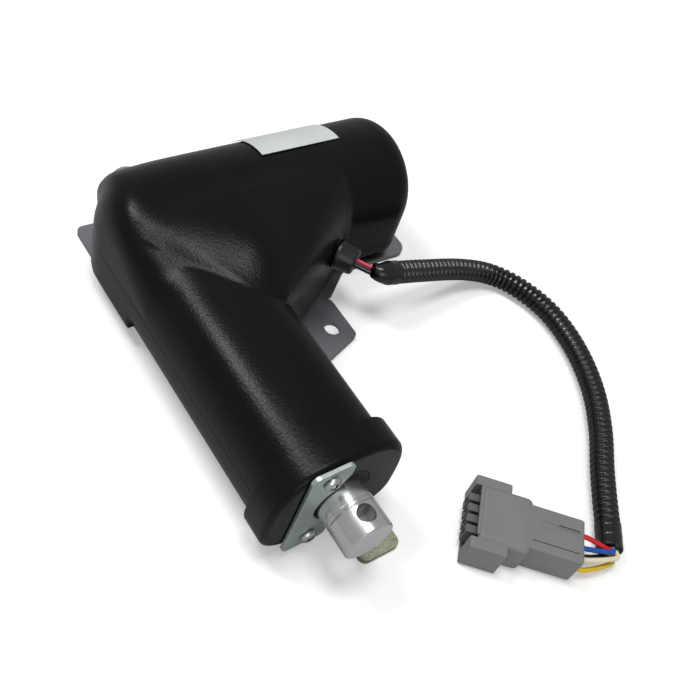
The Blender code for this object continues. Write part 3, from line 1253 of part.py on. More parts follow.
def build_boot():
    """Rubber boot in the slanted wall, with the cable's wires through it."""
    place, normal = grommet_place()
    neck = GROMMET_NECK_RADIUS
    base = COLLAR_PROUD + SEAT_GAP
    nose = GROMMET_NOSE_LENGTH
    rim = base + GROMMET_RIM
    edge = GROMMET_EDGE
    profile = [(-GROMMET_NECK_DEPTH, GROMMET_BORE_RADIUS), (-GROMMET_NECK_DEPTH, neck), (base, neck),
               (base, GROMMET_BASE_RADIUS), (rim, GROMMET_BASE_RADIUS), (rim + edge, GROMMET_BASE_RADIUS - edge),
               (nose, GROMMET_NOSE_RADIUS), (nose + edge, GROMMET_NOSE_RADIUS - edge),
               (nose + edge, GROMMET_BORE_RADIUS)]
    smooth(turned("cable_boot", place, normal, profile, material("cable_boot", (0.01, 0.01, 0.01), 0.55),
                  closed=True))


def build_cable():
    """Corrugated loom with taped ends, the wires at the boot and the wires into the plug."""
    path = smooth_path(CABLE_ROUTE, ROUTE_STEP)
    count = len(path) - 1
    start_count, end_count = TAPE_START_STEPS, TAPE_END_STEPS
    black_tape = ((0.012, 0.012, 0.013), 0.35)
    taper = [TAPE_TIP_SHARE + (1 - TAPE_TIP_SHARE) * min(1.0, step / TAPE_TAPER_STEPS)
             for step in range(start_count + 1)]
    tube("loom_tape_start", path[:start_count + 1], TAPE_RADIUS, material("loom_tape_start", *black_tape),
         resolution=3, radii=taper)
    first, last = path[start_count], path[count - end_count]
    stride = LOOM_STRIDE
    loom_points = [first + (path[start_count + 1] - first).normalized() * SEAT_GAP]
    loom_points += path[start_count + stride:count - end_count - stride + 1:stride]
    loom_points.append(last + (path[count - end_count - 1] - last).normalized() * SEAT_GAP)
    tube("cable_loom", loom_points, LOOM_RADIUS, material("cable_loom", (0.01, 0.01, 0.01), 0.35), resolution=3)
    tube("loom_tape_end", path[count - end_count:], TAPE_RADIUS, material("loom_tape_end", *black_tape),
         resolution=3)

    place, normal = grommet_place()
    start = path[0]
    heading = (path[1] - path[0]).normalized()
    side = heading.cross(Vector((0, 0, 1))).normalized()
    for index, (name, colour) in enumerate(EXIT_WIRES):
        turn = 2 * math.pi * index / len(EXIT_WIRES) + math.pi / 2
        spread = (side * math.cos(turn) + Vector((0, 0, 1)) * math.sin(turn)) * EXIT_WIRE_SPREAD
        route = [place + normal * EXIT_WIRE_START + spread, place + normal * GROMMET_NOSE_LENGTH + spread,
                 start - heading * 3 * SEAT_GAP + spread]
        tube(name, smooth_path(route, WIRE_STEP), EXIT_WIRE_RADIUS, material(name, colour, 0.4))

    end = path[-1]
    heading = (path[-1] - path[-2]).normalized()
    toward_plug = heading.cross(Vector((0, 0, 1))).normalized()
    for name, colour, side, up, bulge, across, height in PLUG_WIRES:
        from_place = end + heading * SEAT_GAP + toward_plug * side * MM + Vector((0, 0, up * MM))
        into = plug_point(SEAL_REAR_U + SEAT_GAP, across * MM, height * MM)
        leave = from_place + heading * bulge * MM
        arrive = into + plug_along() * (PLUG_WIRE_STRAIGHT + bulge / 2 * MM)
        points = smooth_path([from_place, leave, arrive, into], WIRE_STEP)
        tube(name, points, WIRE_RADIUS, material(name, colour, 0.35))


def plug_along():
    return Vector((math.cos(PLUG_ANGLE), math.sin(PLUG_ANGLE), 0.0))


def plug_point(along, across, up):
    """Point in the plug: along from its mating rim to the wires, across to its left, up from the table."""
    left = Vector((-math.sin(PLUG_ANGLE), math.cos(PLUG_ANGLE), 0.0))
    return PLUG_RIM + plug_along() * along + left * across + Vector((0, 0, up))


def plug_block(name, along, across, up):
    """Box in the plug's own directions, from pairs of limits."""
    work = bmesh.new()
    size = Vector((along[1] - along[0], across[1] - across[0], up[1] - up[0]))
    place = Matrix.Translation(plug_point(sum(along) / 2, sum(across) / 2, sum(up) / 2))
    frame = place @ Matrix.Rotation(PLUG_ANGLE, 4, "Z") @ Matrix.Diagonal((*size, 1.0))
    bmesh.ops.create_cube(work, size=1.0, matrix=frame)
    return add_object(name, mesh_from(name, work))


def build_plug():
    """Sealed plug lying on the table: stepped shell, mating core and rear seal."""
    lift = PLUG_LIFT
    top = lift + PLUG_HEIGHT
    middle_end = PLUG_FRONT_LENGTH + PLUG_MIDDLE_LENGTH
    rear_end = middle_end + PLUG_REAR_LENGTH
    half_middle, half_rear, half_front = PLUG_MIDDLE_WIDTH / 2, PLUG_REAR_WIDTH / 2, PLUG_FRONT_WIDTH / 2
    step = PLUG_STEP
    shell = soften(plug_block("plug_form", (PLUG_RIM_BACK, middle_end), (-half_middle, half_middle), (lift, top)),
                   PLUG_EDGE, segments=2, angle=60)
    rear = soften(plug_block("plug_rear", (middle_end - PLUG_LAP, rear_end), (-half_rear, half_rear),
                             (lift + step, top - step)), PLUG_REAR_EDGE, segments=2, angle=60)
    tabs = plug_block("plug_tabs", (-PLUG_TAB_PROUD, PLUG_FRONT_LENGTH), (-half_front, half_front),
                      (lift + step, lift + PLUG_TAB_HEIGHT))
    join(shell, rear, soften(tabs, PLUG_TAB_EDGE, segments=1, angle=60))
    wall = PLUG_WALL
    cut(shell, plug_block("socket", (-PLUG_TAB_PROUD - CUT_OVER, PLUG_SOCKET_DEPTH),
                          (-half_middle + wall, half_middle - wall), (lift + wall, top - wall)))
    cut(shell, plug_block("seal_pocket", (rear_end - PLUG_SEAL_DEPTH, rear_end + CUT_OVER),
                          (-half_rear + wall, half_rear - wall), (lift + wall, top - wall)))
    finish(shell, "plug_shell", material("plug_shell", (0.17, 0.18, 0.18), 0.5))

    gap = SEAT_GAP + wall
    core = plug_block("core_form", (-PLUG_CORE_PROUD, PLUG_SOCKET_DEPTH - SEAT_GAP),
                      (-half_middle + gap + PLUG_MOAT, half_middle - gap - PLUG_MOAT),
                      (lift + gap + PLUG_MOAT, top - gap - PLUG_MOAT))
    base = plug_block("core_base", (PLUG_SOCKET_DEPTH - PLUG_CORE_BASE, PLUG_SOCKET_DEPTH - SEAT_GAP),
                      (-half_middle + gap, half_middle - gap), (lift + gap, top - gap))
    join(core, base)
    half_slot = PLUG_CORE_SLOT / 2
    for column in (-1, 0, 1):
        across = column * PLUG_CONTACT_PITCH
        cut(core, plug_block("core_slot", (-PLUG_CORE_PROUD - CUT_OVER, PLUG_CORE_SLOT_END),
                             (across - half_slot, across + half_slot), (lift, top)))
    finish(core, "plug_core", material("plug_core", (0.10, 0.11, 0.11), 0.5))
    seal = plug_block("seal_form", (rear_end - PLUG_SEAL_DEPTH + SEAT_GAP, SEAL_REAR_U),
                      (-half_rear + gap, half_rear - gap), (lift + gap, top - gap))
    finish(seal, "plug_rear_seal", material("plug_rear_seal", (0.30, 0.08, 0.02), 0.6))


def main():
    build_housings()
    build_rear_fixing()
    build_end_cap()
    build_retainer()
    build_rod_guide()
    build_rod()
    build_drive_nut()
    build_lead_screw()
    build_front_bearing()
    build_pinion()
    build_face_gear()
    build_motor()
    build_motor_mounts()
    build_position_sensor()
    build_plate()
    build_housing_screws()
    build_label()
    build_boot()
    build_cable()
    build_plug()


if __name__ == "__main__":
    main()
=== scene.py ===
"""Looks of a linear throttle actuator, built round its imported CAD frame. Run as a script in Blender 4.5.

Forms are modelled in millimetres from the crossing of the rod's axis and the motor's axis, with the rod
along +X, the motor along +Y and +Z up. A finished piece is carried into the row frame, in metres.
"""
import math

import bmesh
import bpy
from bpy.props import FloatProperty, FloatVectorProperty, IntProperty, PointerProperty
from mathutils import Matrix, Vector


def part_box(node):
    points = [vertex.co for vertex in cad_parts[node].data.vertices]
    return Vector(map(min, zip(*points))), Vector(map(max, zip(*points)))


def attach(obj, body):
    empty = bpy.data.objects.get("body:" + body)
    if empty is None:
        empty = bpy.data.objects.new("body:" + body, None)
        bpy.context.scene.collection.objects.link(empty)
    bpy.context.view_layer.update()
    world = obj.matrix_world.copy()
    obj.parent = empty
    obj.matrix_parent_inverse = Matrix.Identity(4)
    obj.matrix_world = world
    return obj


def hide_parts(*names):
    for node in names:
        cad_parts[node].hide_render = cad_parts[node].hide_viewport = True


bl_info = {
    "name": "Throttle Actuator",
    "version": (1, 0, 0),
    "blender": (4, 5, 0),
    "location": "View3D > Sidebar > Actuator",
    "description": "Builds the visible pieces of a linear throttle actuator round its packed frame",
    "category": "Object",
}

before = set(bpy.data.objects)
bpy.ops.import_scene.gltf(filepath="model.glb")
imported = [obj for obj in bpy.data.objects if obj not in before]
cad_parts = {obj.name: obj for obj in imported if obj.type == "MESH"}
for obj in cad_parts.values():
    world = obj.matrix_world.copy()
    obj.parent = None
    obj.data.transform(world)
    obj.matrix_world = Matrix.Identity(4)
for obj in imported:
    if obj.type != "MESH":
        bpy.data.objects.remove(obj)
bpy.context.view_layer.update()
rod_low, rod_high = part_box("actuator_rod")
AXIS_HEIGHT = (rod_low.z + rod_high.z) / 2
TO_ROW = Matrix.Translation((0, 0, AXIS_HEIGHT)) @ Matrix.Scale(0.001, 4)

GAP = 0.3
PLATE_THICKNESS = 2.3
PLATE_TOP = PLATE_THICKNESS - AXIS_HEIGHT * 1000
ALONG_X, UPWARDS = (1, 0, 0), (0, 0, 1)

# Housing, in millimetres from the crossing of the axes
WALL = 2.5
ARM_HALF_WIDTH, ARM_TOP, ARM_BOTTOM, ARM_WIDEST, ARM_ROUNDNESS = 25.3, 20.3, 21.4, 7.2, 2.9
BARREL_RADIUS, BARREL_END_Y, BARREL_END_ROUND = 27.3, 112.0, 10.0
BARREL_FLOOR, BARREL_FLOOR_ROUND, BARREL_SHOULDER, REAR_CORNER = 23.5, 4.0, 12.0, 28.0
CROWN_START_Y, CROWN_FALL = 20.0, 2.0
GUSSET_ARM_X, GUSSET_END_Y, GUSSET_WALL_TOP, GUSSET_PEAK_TOP = 59.3, 76.0, 13.5, 15.5
GUSSET_ROUND, GUSSET_FLOOR, GUSSET_START_Y = 3.0, 23.2, -14.0
GUSSET_SHOULDER_X, GUSSET_SHOULDER_Y, GUSSET_PEAK_SHIFT = 42.0, 19.0, (-1.5, -3.3)
# Where the dome between the arm and the barrel meets the arm's top
GUSSET_CREASE = (
    (20.0, -17.6, 16.6), (24.4, -15.9, 17.8), (28.1, -13.9, 18.7), (31.5, -11.3, 19.5),
    (37.5, -6.9, 20.3), (43.2, -1.8, 20.5), (49.2, 3.1, 20.4), (53.3, 6.2, 20.3),
    (55.8, 7.8, 20.2), (59.8, 12.5, 19.2), (60.7, 16.2, 17.9), (61.5, 18.6, 17.4),
)
DOME_SPANS = [(Vector(start), Vector(end)) for start, end in zip(GUSSET_CREASE[2:], GUSSET_CREASE[3:])]
DOME_RISE = BARREL_RADIUS - GUSSET_CREASE[6][2]
PARTING_LEFT, PARTING_RIGHT, PARTING_STEP_Y = -3.0, -16.0, -5.0
HOUSING_DEPTH, FOOT_HALF_WIDTH, FOOT_TOP, FOOT_REAR_X = 24.0, 18.3, -19.4, -8.0
SIDE_FOOT_REAR_X, SIDE_FOOT_TOP = -22.0, -21.5
# Low and high corners of boxes: what is cut away under the arm's rear, and where the wall stays thick behind
# the corners that the broad fillets cut back
REAR_UNDERCUT = ((-30.0, -30.0, -26.0), (30.0, -FOOT_HALF_WIDTH, FOOT_TOP))
THICK_CORNERS = (((-60.0, -60.0, 9.0), (22.0, -16.0, 60.0)), ((-60.0, -60.0, -60.0), (32.0, -15.3, -16.4)))
SCREW_PLACES = ((-14.0, -14.5), (88.0, -15.0), (88.0, 15.0), (-15.0, 101.0), (15.0, 101.0))
SCREW_HOLE_RADIUS, SCREW_BOSS_RADIUS, SCREW_BOSS_TOP = 2.05, 3.9, 8.0
RIB_HALF_THICKNESS, RIB_LOW, RIB_HIGH, ARM_RIB_Y, BARREL_RIB_Y = 1.5, -10.0, 7.5, 23.2, 110.5
BOOT_Y, BOOT_BELOW_AXIS, BOOT_BOSS_RADIUS, BOOT_BOSS_DEPTH, BOOT_HOLE_RADIUS = 65.0, 1.5, 7.5, 14.0, 4.9

# Ranges in millimetres over which the broad fillets and the dome's swelling fade
FILLET_FROM_CREASE, FILLET_FROM_BOOT, FILLET_FROM_STUD = (2.0, 9.0), (9.0, 16.0), (12.0, 21.0)
FILLET_FROM_BELOW, FILLET_TO_ARM_END, FILLET_TO_BARREL_END = (2.0, 12.0), (48.0, 66.0), (60.0, 80.0)
SWELL_FROM_CREASE, SWELL_FROM_START, SWELL_TO_END = (-0.5, 23.0), (-12.0, 8.0), (26.0, 48.0)
SWELL_FROM_MIDDLE, SWELL_FROM_BELOW = (1.0, 15.0), (9.0, 15.0)

# End cap, retainer, rod and rear fixing
CAP_REAR_X, CAP_FRONT_X, CAP_PROUD, CAP_LAP, CAP_ROUND = 119.7, 132.2, 2.6, 7.5, 2.6
WIPER_BORE_RADIUS = 13.0
ARM_END_X = CAP_REAR_X + CAP_LAP
RETAINER_SCREWS, RETAINER_THICKNESS, RETAINER_HOLE_RADIUS = ((-9.0, 17.6), (-9.0, -17.6)), 1.6, 1.8
ROD_RADIUS, ROD_TIP_X, ROD_REAR_X, ROD_HOLE_X, ROD_HOLE_RADIUS = 9.525, 152.0, 48.0, 145.4, 3.5
SPIGOT_BORE_RADIUS, SPIGOT_BORE_DEPTH, SCREW_BORE_RADIUS, SCREW_BORE_END_X = 7.7, 8.3, 6.5, 104.0
EAR_HOLE_RADIUS, FRONT_EAR_HOLE, SIDE_EAR_HOLE, EAR_HALF_WIDTH = 3.5, (142.2, 15.2), (54.8, 56.3), 8.7
SINK_RADIUS = 4.7
STUD_SEAT_X = -BARREL_RADIUS + WALL + 2.8 + GAP
REAR_BOSS_RADIUS, REAR_BOSS_PROUD, REAR_PAD_RADIUS = 7.0, 0.3, 9.5
STUD_RADIUS, STUD_PITCH, STUD_FLANGE_RADIUS, STUD_BORE_RADIUS = 3.0, 0.6, 8.5, 6.1
STUD_BORE_X, STUD_FRONT_X = STUD_SEAT_X + 2, STUD_SEAT_X + 8.0
WASHER_RADIUS, WASHER_THICKNESS, NUT_ACROSS_FLATS, NUT_HEIGHT = 6.5, 1.6, 10.0, 4.0
SCREW_RADIUS, SCREW_ROOT_RADIUS, SCREW_JOURNAL_RADIUS, SCREW_PITCH = 5.0, 4.1, 4.0, 2.5
SCREW_THREAD_START_X, SCREW_THREAD_END_X, SCREW_END_X = 24.0, 98.4, 100.0
LABEL_START, LABEL_END, LABEL_STATIONS = math.radians(92), math.radians(138), (43.0, 43.4, 62.0, 80.6, 81.0)

# Cable: the route of the CAD source in metres, with its last five points moved by up to 1.6 mm
CABLE_ROUTE = (
    (0.0486, 0.0746, 0.0251), (0.0512, 0.0800, 0.0242), (0.0516, 0.1010, 0.0180), (0.0531, 0.1273, 0.0106),
    (0.0584, 0.1448, 0.0060), (0.0711, 0.1536, 0.0056), (0.0891, 0.1576, 0.0056), (0.1101, 0.1547, 0.0056),
    (0.1307, 0.1461, 0.0056), (0.1481, 0.1339, 0.0056), (0.1631, 0.1201, 0.0056), (0.1740, 0.1107, 0.0056),
    (0.1845, 0.1021, 0.0056), (0.1916, 0.0959, 0.0056),
)
LOOM_RADIUS, TAPE_RADIUS = 5.0, 5.3
START_TAPE_STEPS, END_TAPE_STEPS, TAPE_TURN, TAPE_OVERLAP = 12, 11, 4.2, 0.09
EXIT_LEAD_SPREAD = 0.00135
# Name, node, slot and colour of each lead between the boot and the loom
EXIT_LEADS = (("exit_lead_red", "exit_wire_red", "wire_red", (0.50, 0.03, 0.07)),
              ("exit_lead_white", "exit_wire_white", "wire_cream", (0.75, 0.73, 0.66)),
              ("exit_lead_black", "exit_wire_black", "wire_black", (0.012, 0.012, 0.012)))
# The same for the leads into the plug, then in millimetres where each one leaves the loom (aside and up),
# how far it bulges, and where it enters the seal (across and height)
PLUG_LEADS = (
    ("plug_lead_red", "plug_wire_red", "wire_red", (0.62, 0.01, 0.02), 1.6, 2.2, 1.0, 4.6, 11.0),
    ("plug_lead_blue", "plug_wire_blue", "wire_blue", (0.01, 0.08, 0.38), 0.2, 2.6, 2.0, 1.2, 9.0),
    ("plug_lead_black", "plug_wire_black", "wire_black", (0.012, 0.012, 0.012), 1.9, -0.6, 2.4, -1.0, 6.8),
    ("plug_lead_cream", "plug_wire_cream", "wire_cream", (0.76, 0.71, 0.50), -1.9, 0.9, 3.2, -3.4, 9.0),
    ("plug_lead_yellow", "plug_wire_yellow", "wire_yellow", (0.74, 0.50, 0.02), -1.2, -1.8, 4.2, -5.2, 4.6),
)

# Plug: its own frame has X along it from the mating rim, Y across and Z up
PLUG_RIM = (155.3, 51.0, -AXIS_HEIGHT * 1000 + 0.1)
PLUG_ANGLE = math.radians(45)
PLUG_TO_AXIS = Matrix.Translation(PLUG_RIM) @ Matrix.Rotation(PLUG_ANGLE, 4, "Z")
PLUG_FRONT, PLUG_MIDDLE, PLUG_REAR = 14.0, 8.6, 20.6
PLUG_HEIGHT, PLUG_FRONT_WIDTH, PLUG_MIDDLE_WIDTH, PLUG_REAR_WIDTH = 15.0, 30.4, 24.0, 19.0
PLUG_WALL, PLUG_MOAT = 1.6, 1.6
# Slots and sunk panels in the plug's top: start and end along it, left and right sides, and depth
PLUG_TOP_MARKS = ((22.7, 41.0, -6.15, -5.65, 0.5), (32.6, 41.0, 2.3, 3.8, 0.8), (25.6, 31.9, 0.4, 3.3, 0.16),
                  (32.8, 40.6, -0.5, 2.1, 0.16))


def colour_setting(name, description, default):
    return FloatVectorProperty(name=name, description=description, subtype="COLOR", size=3, min=0.0, max=1.0,
                               default=default)


def share_setting(name, description, default):
    return FloatProperty(name=name, description=description, subtype="FACTOR", min=0.0, max=1.0,
                         default=default)


def size_setting(name, description, low, high, default):
    return FloatProperty(name=name, description=description, min=low, max=high, default=default)


class HousingLook(bpy.types.PropertyGroup):
    """Finish of the moulded housing."""
    colour: colour_setting("Plastic colour", "Colour of the black moulding", (0.0018, 0.0021, 0.0025))
    roughness: share_setting("Roughness", "Sheen of the moulding, lower is glossier", 0.23)
    grain: size_setting("Grain", "Number of grains of the moulded texture in a metre", 100.0, 5000.0, 1100.0)
    swell: size_setting("Swell", "Height that the dome swells behind its crease, in mm", 0.0, 8.0, 5.2)
    sheen: share_setting("Sheen", "Strength of the plastic's mirror reflection", 0.17)
    blending: IntProperty(name="Blending", description="Rounds of smoothing on the dome and the rear corner",
                          min=0, max=2000, default=160)
    voxel: size_setting("Skin detail", "Size of the cells that round the creases, in mm", 0.4, 3.0, 0.8)


class MetalLook(bpy.types.PropertyGroup):
    """Finish of the plated and turned metal parts."""
    zinc_colour: colour_setting("Zinc colour", "Colour of the zinc plating", (0.72, 0.79, 0.75))
    rod_colour: colour_setting("Rod colour", "Colour of the turned rod", (0.70, 0.71, 0.72))
    lathe_pitch: size_setting("Lathe marks", "Turned rings in a metre of rod", 100.0, 8000.0, 2600.0)


class CableLook(bpy.types.PropertyGroup):
    """Shape of the corrugated loom."""
    rib_pitch: size_setting("Rib pitch", "Distance between two ribs of the loom, in mm", 1.0, 6.0, 2.8)
    rib_depth: size_setting("Rib depth", "Depth of the grooves between the ribs, in mm", 0.0, 1.5, 0.75)
    sides: IntProperty(name="Sides", description="Number of faces round the loom", min=12, max=64, default=28)


class PlugLook(bpy.types.PropertyGroup):
    """Finish of the sealed plug."""
    colour: colour_setting("Plug colour", "Colour of the grey plug", (0.185, 0.190, 0.188))
    seal_colour: colour_setting("Seal colour", "Colour of the wire seal", (0.30, 0.07, 0.02))


class StageLook(bpy.types.PropertyGroup):
    """Floor and light."""
    floor_colour: colour_setting("Floor colour", "Colour of the floor", (0.92, 0.92, 0.92))
    floor_echo: share_setting("Floor echo", "Share of the floor's colour that reflections show", 0.45)
    floor_glow: share_setting("Floor glow", "Light that the camera adds to the floor", 0.24)
    key_power: size_setting("Key light", "Power of the main soft light, in watts", 0.0, 200.0, 3.1)


# Shader expressions


class Signal:
    """A shader output that takes Python arithmetic; each operation adds a Math node."""

    def __init__(self, paint, socket):
        self.paint = paint
        self.socket = socket

    def joined(self, operation, first, second):
        return self.paint.node("ShaderNodeMath", {"operation": operation}, {0: first, 1: second})

    def __add__(self, other):
        return self.joined("ADD", self, other)

    def __mul__(self, other):
        return self.joined("MULTIPLY", self, other)

    def __sub__(self, other):
        return self.joined("SUBTRACT", self, other)

    def __rsub__(self, other):
        return self.joined("SUBTRACT", other, self)

    def __pow__(self, other):
        return self.joined("POWER", self, other)

    __radd__ = __add__
    __rmul__ = __mul__


class Paint:
    """One material, made from a plain base and expressions on its sockets."""

    def __init__(self, name, colour, roughness, metallic=0.0, **plain):
        self.material = bpy.data.materials.new(name)
        self.material.use_nodes = True
        self.tree = self.material.node_tree
        self.shader = self.tree.nodes["Principled BSDF"]
        self.shader.inputs["Base Color"].default_value = (*colour, 1.0)
        self.shader.inputs["Roughness"].default_value = roughness
        self.shader.inputs["Metallic"].default_value = metallic
        for key, value in plain.items():
            self.shader.inputs[key.replace("_", " ").title().replace("Ior", "IOR")].default_value = value
        self.place = self.node("ShaderNodeTexCoord", output="Object")

    def feed(self, socket, value):
        if isinstance(value, Signal):
            self.tree.links.new(value.socket, socket)
        else:
            socket.default_value = value

    def node(self, kind, settings=(), inputs=(), output=0):
        made = self.tree.nodes.new(kind)
        for key, value in dict(settings).items():
            if key == "stops":
                for stop, (position, grey) in zip(made.color_ramp.elements, value):
                    stop.position = position
                    stop.color = (grey, grey, grey, 1.0)
            else:
                setattr(made, key, value)
        for key, value in dict(inputs).items():
            self.feed(made.inputs[key], value)
        return Signal(self, made.outputs[output])

    def stretched(self, scale, turn=(0.0, 0.0, 0.0)):
        return self.node("ShaderNodeMapping", inputs={"Vector": self.place, "Scale": scale, "Rotation": turn})

    def noise(self, scale, detail=2.0, place=None, roughness=0.5):
        inputs = {"Vector": place or self.place, "Scale": scale, "Detail": detail, "Roughness": roughness}
        return self.node("ShaderNodeTexNoise", inputs=inputs, output="Fac")

    def cells(self, scale, place=None):
        inputs = {"Vector": place or self.place, "Scale": scale}
        return self.node("ShaderNodeTexVoronoi", inputs=inputs, output="Distance")

    def ramp(self, value, low, high, dark=0.0, light=1.0):
        return self.node("ShaderNodeValToRGB", {"stops": ((low, dark), (high, light))}, {"Fac": value})

    def mixed(self, share, first, second):
        """Colour between two colours."""
        first, second = (tint if isinstance(tint, Signal) else (*tint, 1.0) for tint in (first, second))
        return self.node("ShaderNodeMix", {"data_type": "RGBA"}, {0: share, 6: first, 7: second}, 2)

    def beyond(self, x):
        """1 where the piece lies further along X than a place in metres, 0 elsewhere."""
        along = self.node("ShaderNodeSeparateXYZ", inputs={0: self.place}, output="X")
        return self.node("ShaderNodeMath", {"operation": "GREATER_THAN"}, {0: along, 1: x})

    def finish(self, colour=None, roughness=None, height=None, depth=0.0001, strength=1.0, metallic=None):
        for key, value in (("Base Color", colour), ("Roughness", roughness), ("Metallic", metallic)):
            if value is not None:
                self.feed(self.shader.inputs[key], value)
        if height is not None:
            inputs = {"Strength": strength, "Distance": depth, "Height": height}
            bump = self.node("ShaderNodeBump", inputs=inputs, output="Normal")
            self.feed(self.shader.inputs["Normal"], bump)
        return self.material


def scaled(colour, factor):
    return tuple(min(1.0, channel * factor) for channel in colour)


def moulded_black(name, look, rough=0.0, tone=1.0):
    """Satin glass-filled plastic: fine grain, soft flow streaks and a few rubbed scratches."""
    base = scaled(look.colour, tone)
    paint = Paint(name, base, look.roughness, specular_ior_level=look.sheen)
    grain = paint.noise(look.grain, 3.0, paint.stretched((1.0, 1.9, 1.0), (0.0, 0.0, 0.6)), 0.6)
    pits = paint.cells(look.grain * 0.8)
    flow = paint.noise(14.0, 5.0, paint.stretched((1.0, 3.0, 2.0)), 0.6)
    rubs = paint.noise(90.0, 6.0, paint.stretched((0.5, 9.0, 5.0), (0.0, 0.0, 0.55)), 0.7)
    scratch = paint.ramp(rubs, 0.60, 0.68)
    return paint.finish(
        colour=paint.mixed(paint.ramp(flow, 0.35, 0.70), base, scaled(base, 1.9)),
        roughness=(look.roughness + rough - 0.06) + flow * 0.14 + grain * 0.08 - scratch * 0.05,
        height=grain * 0.8 + pits * 0.45 + scratch * 0.1, depth=0.00013, strength=0.6)


def zinc_plating(name, look, iridescent=False):
    """Passivated zinc: cool grey with faint yellow and blue clouds and rolled lines."""
    paint = Paint(name, look.zinc_colour, 0.34, 1.0)
    cloud = paint.noise(55.0, 4.0, roughness=0.6)
    red, green, blue = look.zinc_colour
    pale, cool = (red * 1.04, green * 1.08, blue * 1.02), (red * 0.86, green * 0.90, blue * 0.90)
    tint = paint.mixed(paint.ramp(cloud, 0.40, 0.62), cool, pale)
    if iridescent:
        flecks = paint.ramp(paint.noise(2400.0, 4.0, roughness=0.7), 0.38, 0.64)
        gold = paint.mixed(flecks, (0.22, 0.24, 0.17), (0.62, 0.64, 0.46))
        violet = paint.mixed(flecks, (0.25, 0.255, 0.28), (0.36, 0.36, 0.40))
        tint = paint.mixed(paint.beyond(0.11), violet, gold)
    rolled = paint.noise(260.0, 5.0, paint.stretched((0.25, 6.0, 6.0)), 0.6)
    speck = paint.noise(2200.0, 2.0)
    return paint.finish(colour=tint, roughness=0.26 + cloud * 0.14 + rolled * 0.10,
                        height=rolled * 0.6 + speck * 0.5, depth=0.00004, strength=0.5)


def turned_metal(name, colour, pitch, tip=None, rough=0.20):
    """Metal turned about X: fine rings, soft bands along it and, past the tip, a frosted end face."""
    paint = Paint(name, colour, rough, 1.0)
    rings = paint.noise(pitch, 3.0, paint.stretched((1.0, 0.0, 0.0)), 0.7)
    bands = paint.noise(pitch * 0.12, 2.0, paint.stretched((1.0, 0.0, 0.0)))
    smear = paint.noise(90.0, 3.0)
    tint = paint.mixed(bands, scaled(colour, 0.90), scaled(colour, 1.08))
    roughness = rough - 0.07 + rings * 0.12 + smear * 0.06
    if tip is not None:
        end = paint.beyond(tip)
        frost = paint.noise(1500.0, 3.0)
        pale = paint.mixed(frost, scaled(colour, 1.0), scaled(colour, 1.32))
        tint = paint.mixed(end, tint, pale)
        roughness = roughness + end * 0.3
    return paint.finish(colour=tint, roughness=roughness, height=rings + bands * 0.4, depth=0.000008,
                        strength=0.4)


def plain_metal(name, colour, rough=0.28, brushed=900.0):
    """Bright machined or cast metal with a fine tooth."""
    paint = Paint(name, colour, rough, 1.0)
    tooth = paint.noise(brushed, 3.0)
    cloud = paint.noise(120.0, 2.0)
    return paint.finish(colour=paint.mixed(cloud, scaled(colour, 0.82), scaled(colour, 1.12)),
                        roughness=rough - 0.05 + tooth * 0.12, height=tooth, depth=0.00001, strength=0.3)


def plain_plastic(name, colour, rough=0.45, grain=1400.0, depth=0.00003):
    """Moulded plastic or rubber in one colour, with a fine skin."""
    paint = Paint(name, colour, rough)
    skin = paint.noise(grain, 3.0)
    cloud = paint.noise(60.0, 3.0)
    return paint.finish(colour=paint.mixed(cloud, scaled(colour, 0.86), scaled(colour, 1.16)),
                        roughness=rough - 0.05 + skin * 0.12, height=skin, depth=depth, strength=0.5)


# Modelling


def shape(name, work):
    """Object of a finished bmesh, with its faces turned outwards."""
    bmesh.ops.recalc_face_normals(work, faces=work.faces)
    mesh = bpy.data.meshes.new(name)
    work.to_mesh(mesh)
    work.free()
    item = bpy.data.objects.new(name, mesh)
    bpy.context.scene.collection.objects.link(item)
    return item


def applied(item):
    """Bake an object's modifiers into its mesh."""
    graph = bpy.context.evaluated_depsgraph_get()
    mesh = bpy.data.meshes.new_from_object(item.evaluated_get(graph))
    item.modifiers.clear()
    item.data = mesh
    return item


def combined(item, operation, *tools):
    """Join, cut or keep with each tool in turn; the tools are used up."""
    for tool in tools:
        change = item.modifiers.new("form", "BOOLEAN")
        change.operation = operation
        change.solver = "MANIFOLD"
        change.object = tool
        applied(item)
        bpy.data.objects.remove(tool)
    return item


def merged(item, *tools):
    return combined(item, "UNION", *tools)


def cut(item, *tools):
    return combined(item, "DIFFERENCE", *tools)


def softened(item, width, segments=2, angle=35.0):
    """Round the sharp edges with a bevel that is baked in."""
    bevel = item.modifiers.new("edges", "BEVEL")
    bevel.width = width
    bevel.segments = segments
    bevel.limit_method = "ANGLE"
    bevel.angle_limit = math.radians(angle)
    bevel.use_clamp_overlap = True
    return applied(item)


def dressed(item, surface, replaces=(), body="housing", angle=32.0, to_row=TO_ROW, flats=False):
    """Place a finished form in the row frame, with its finish, its body and the nodes that it stands for."""
    item.data.transform(to_row)
    item.data.materials.clear()
    item.data.materials.append(surface)
    item.data.shade_smooth()
    item.data.set_sharp_from_angle(angle=math.radians(angle))
    if flats:
        weighted = item.modifiers.new("flat faces", "WEIGHTED_NORMAL")
        weighted.keep_sharp = True
        weighted.weight = 100
        applied(item)
    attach(item, body)
    if replaces:
        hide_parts(*replaces)
    return item


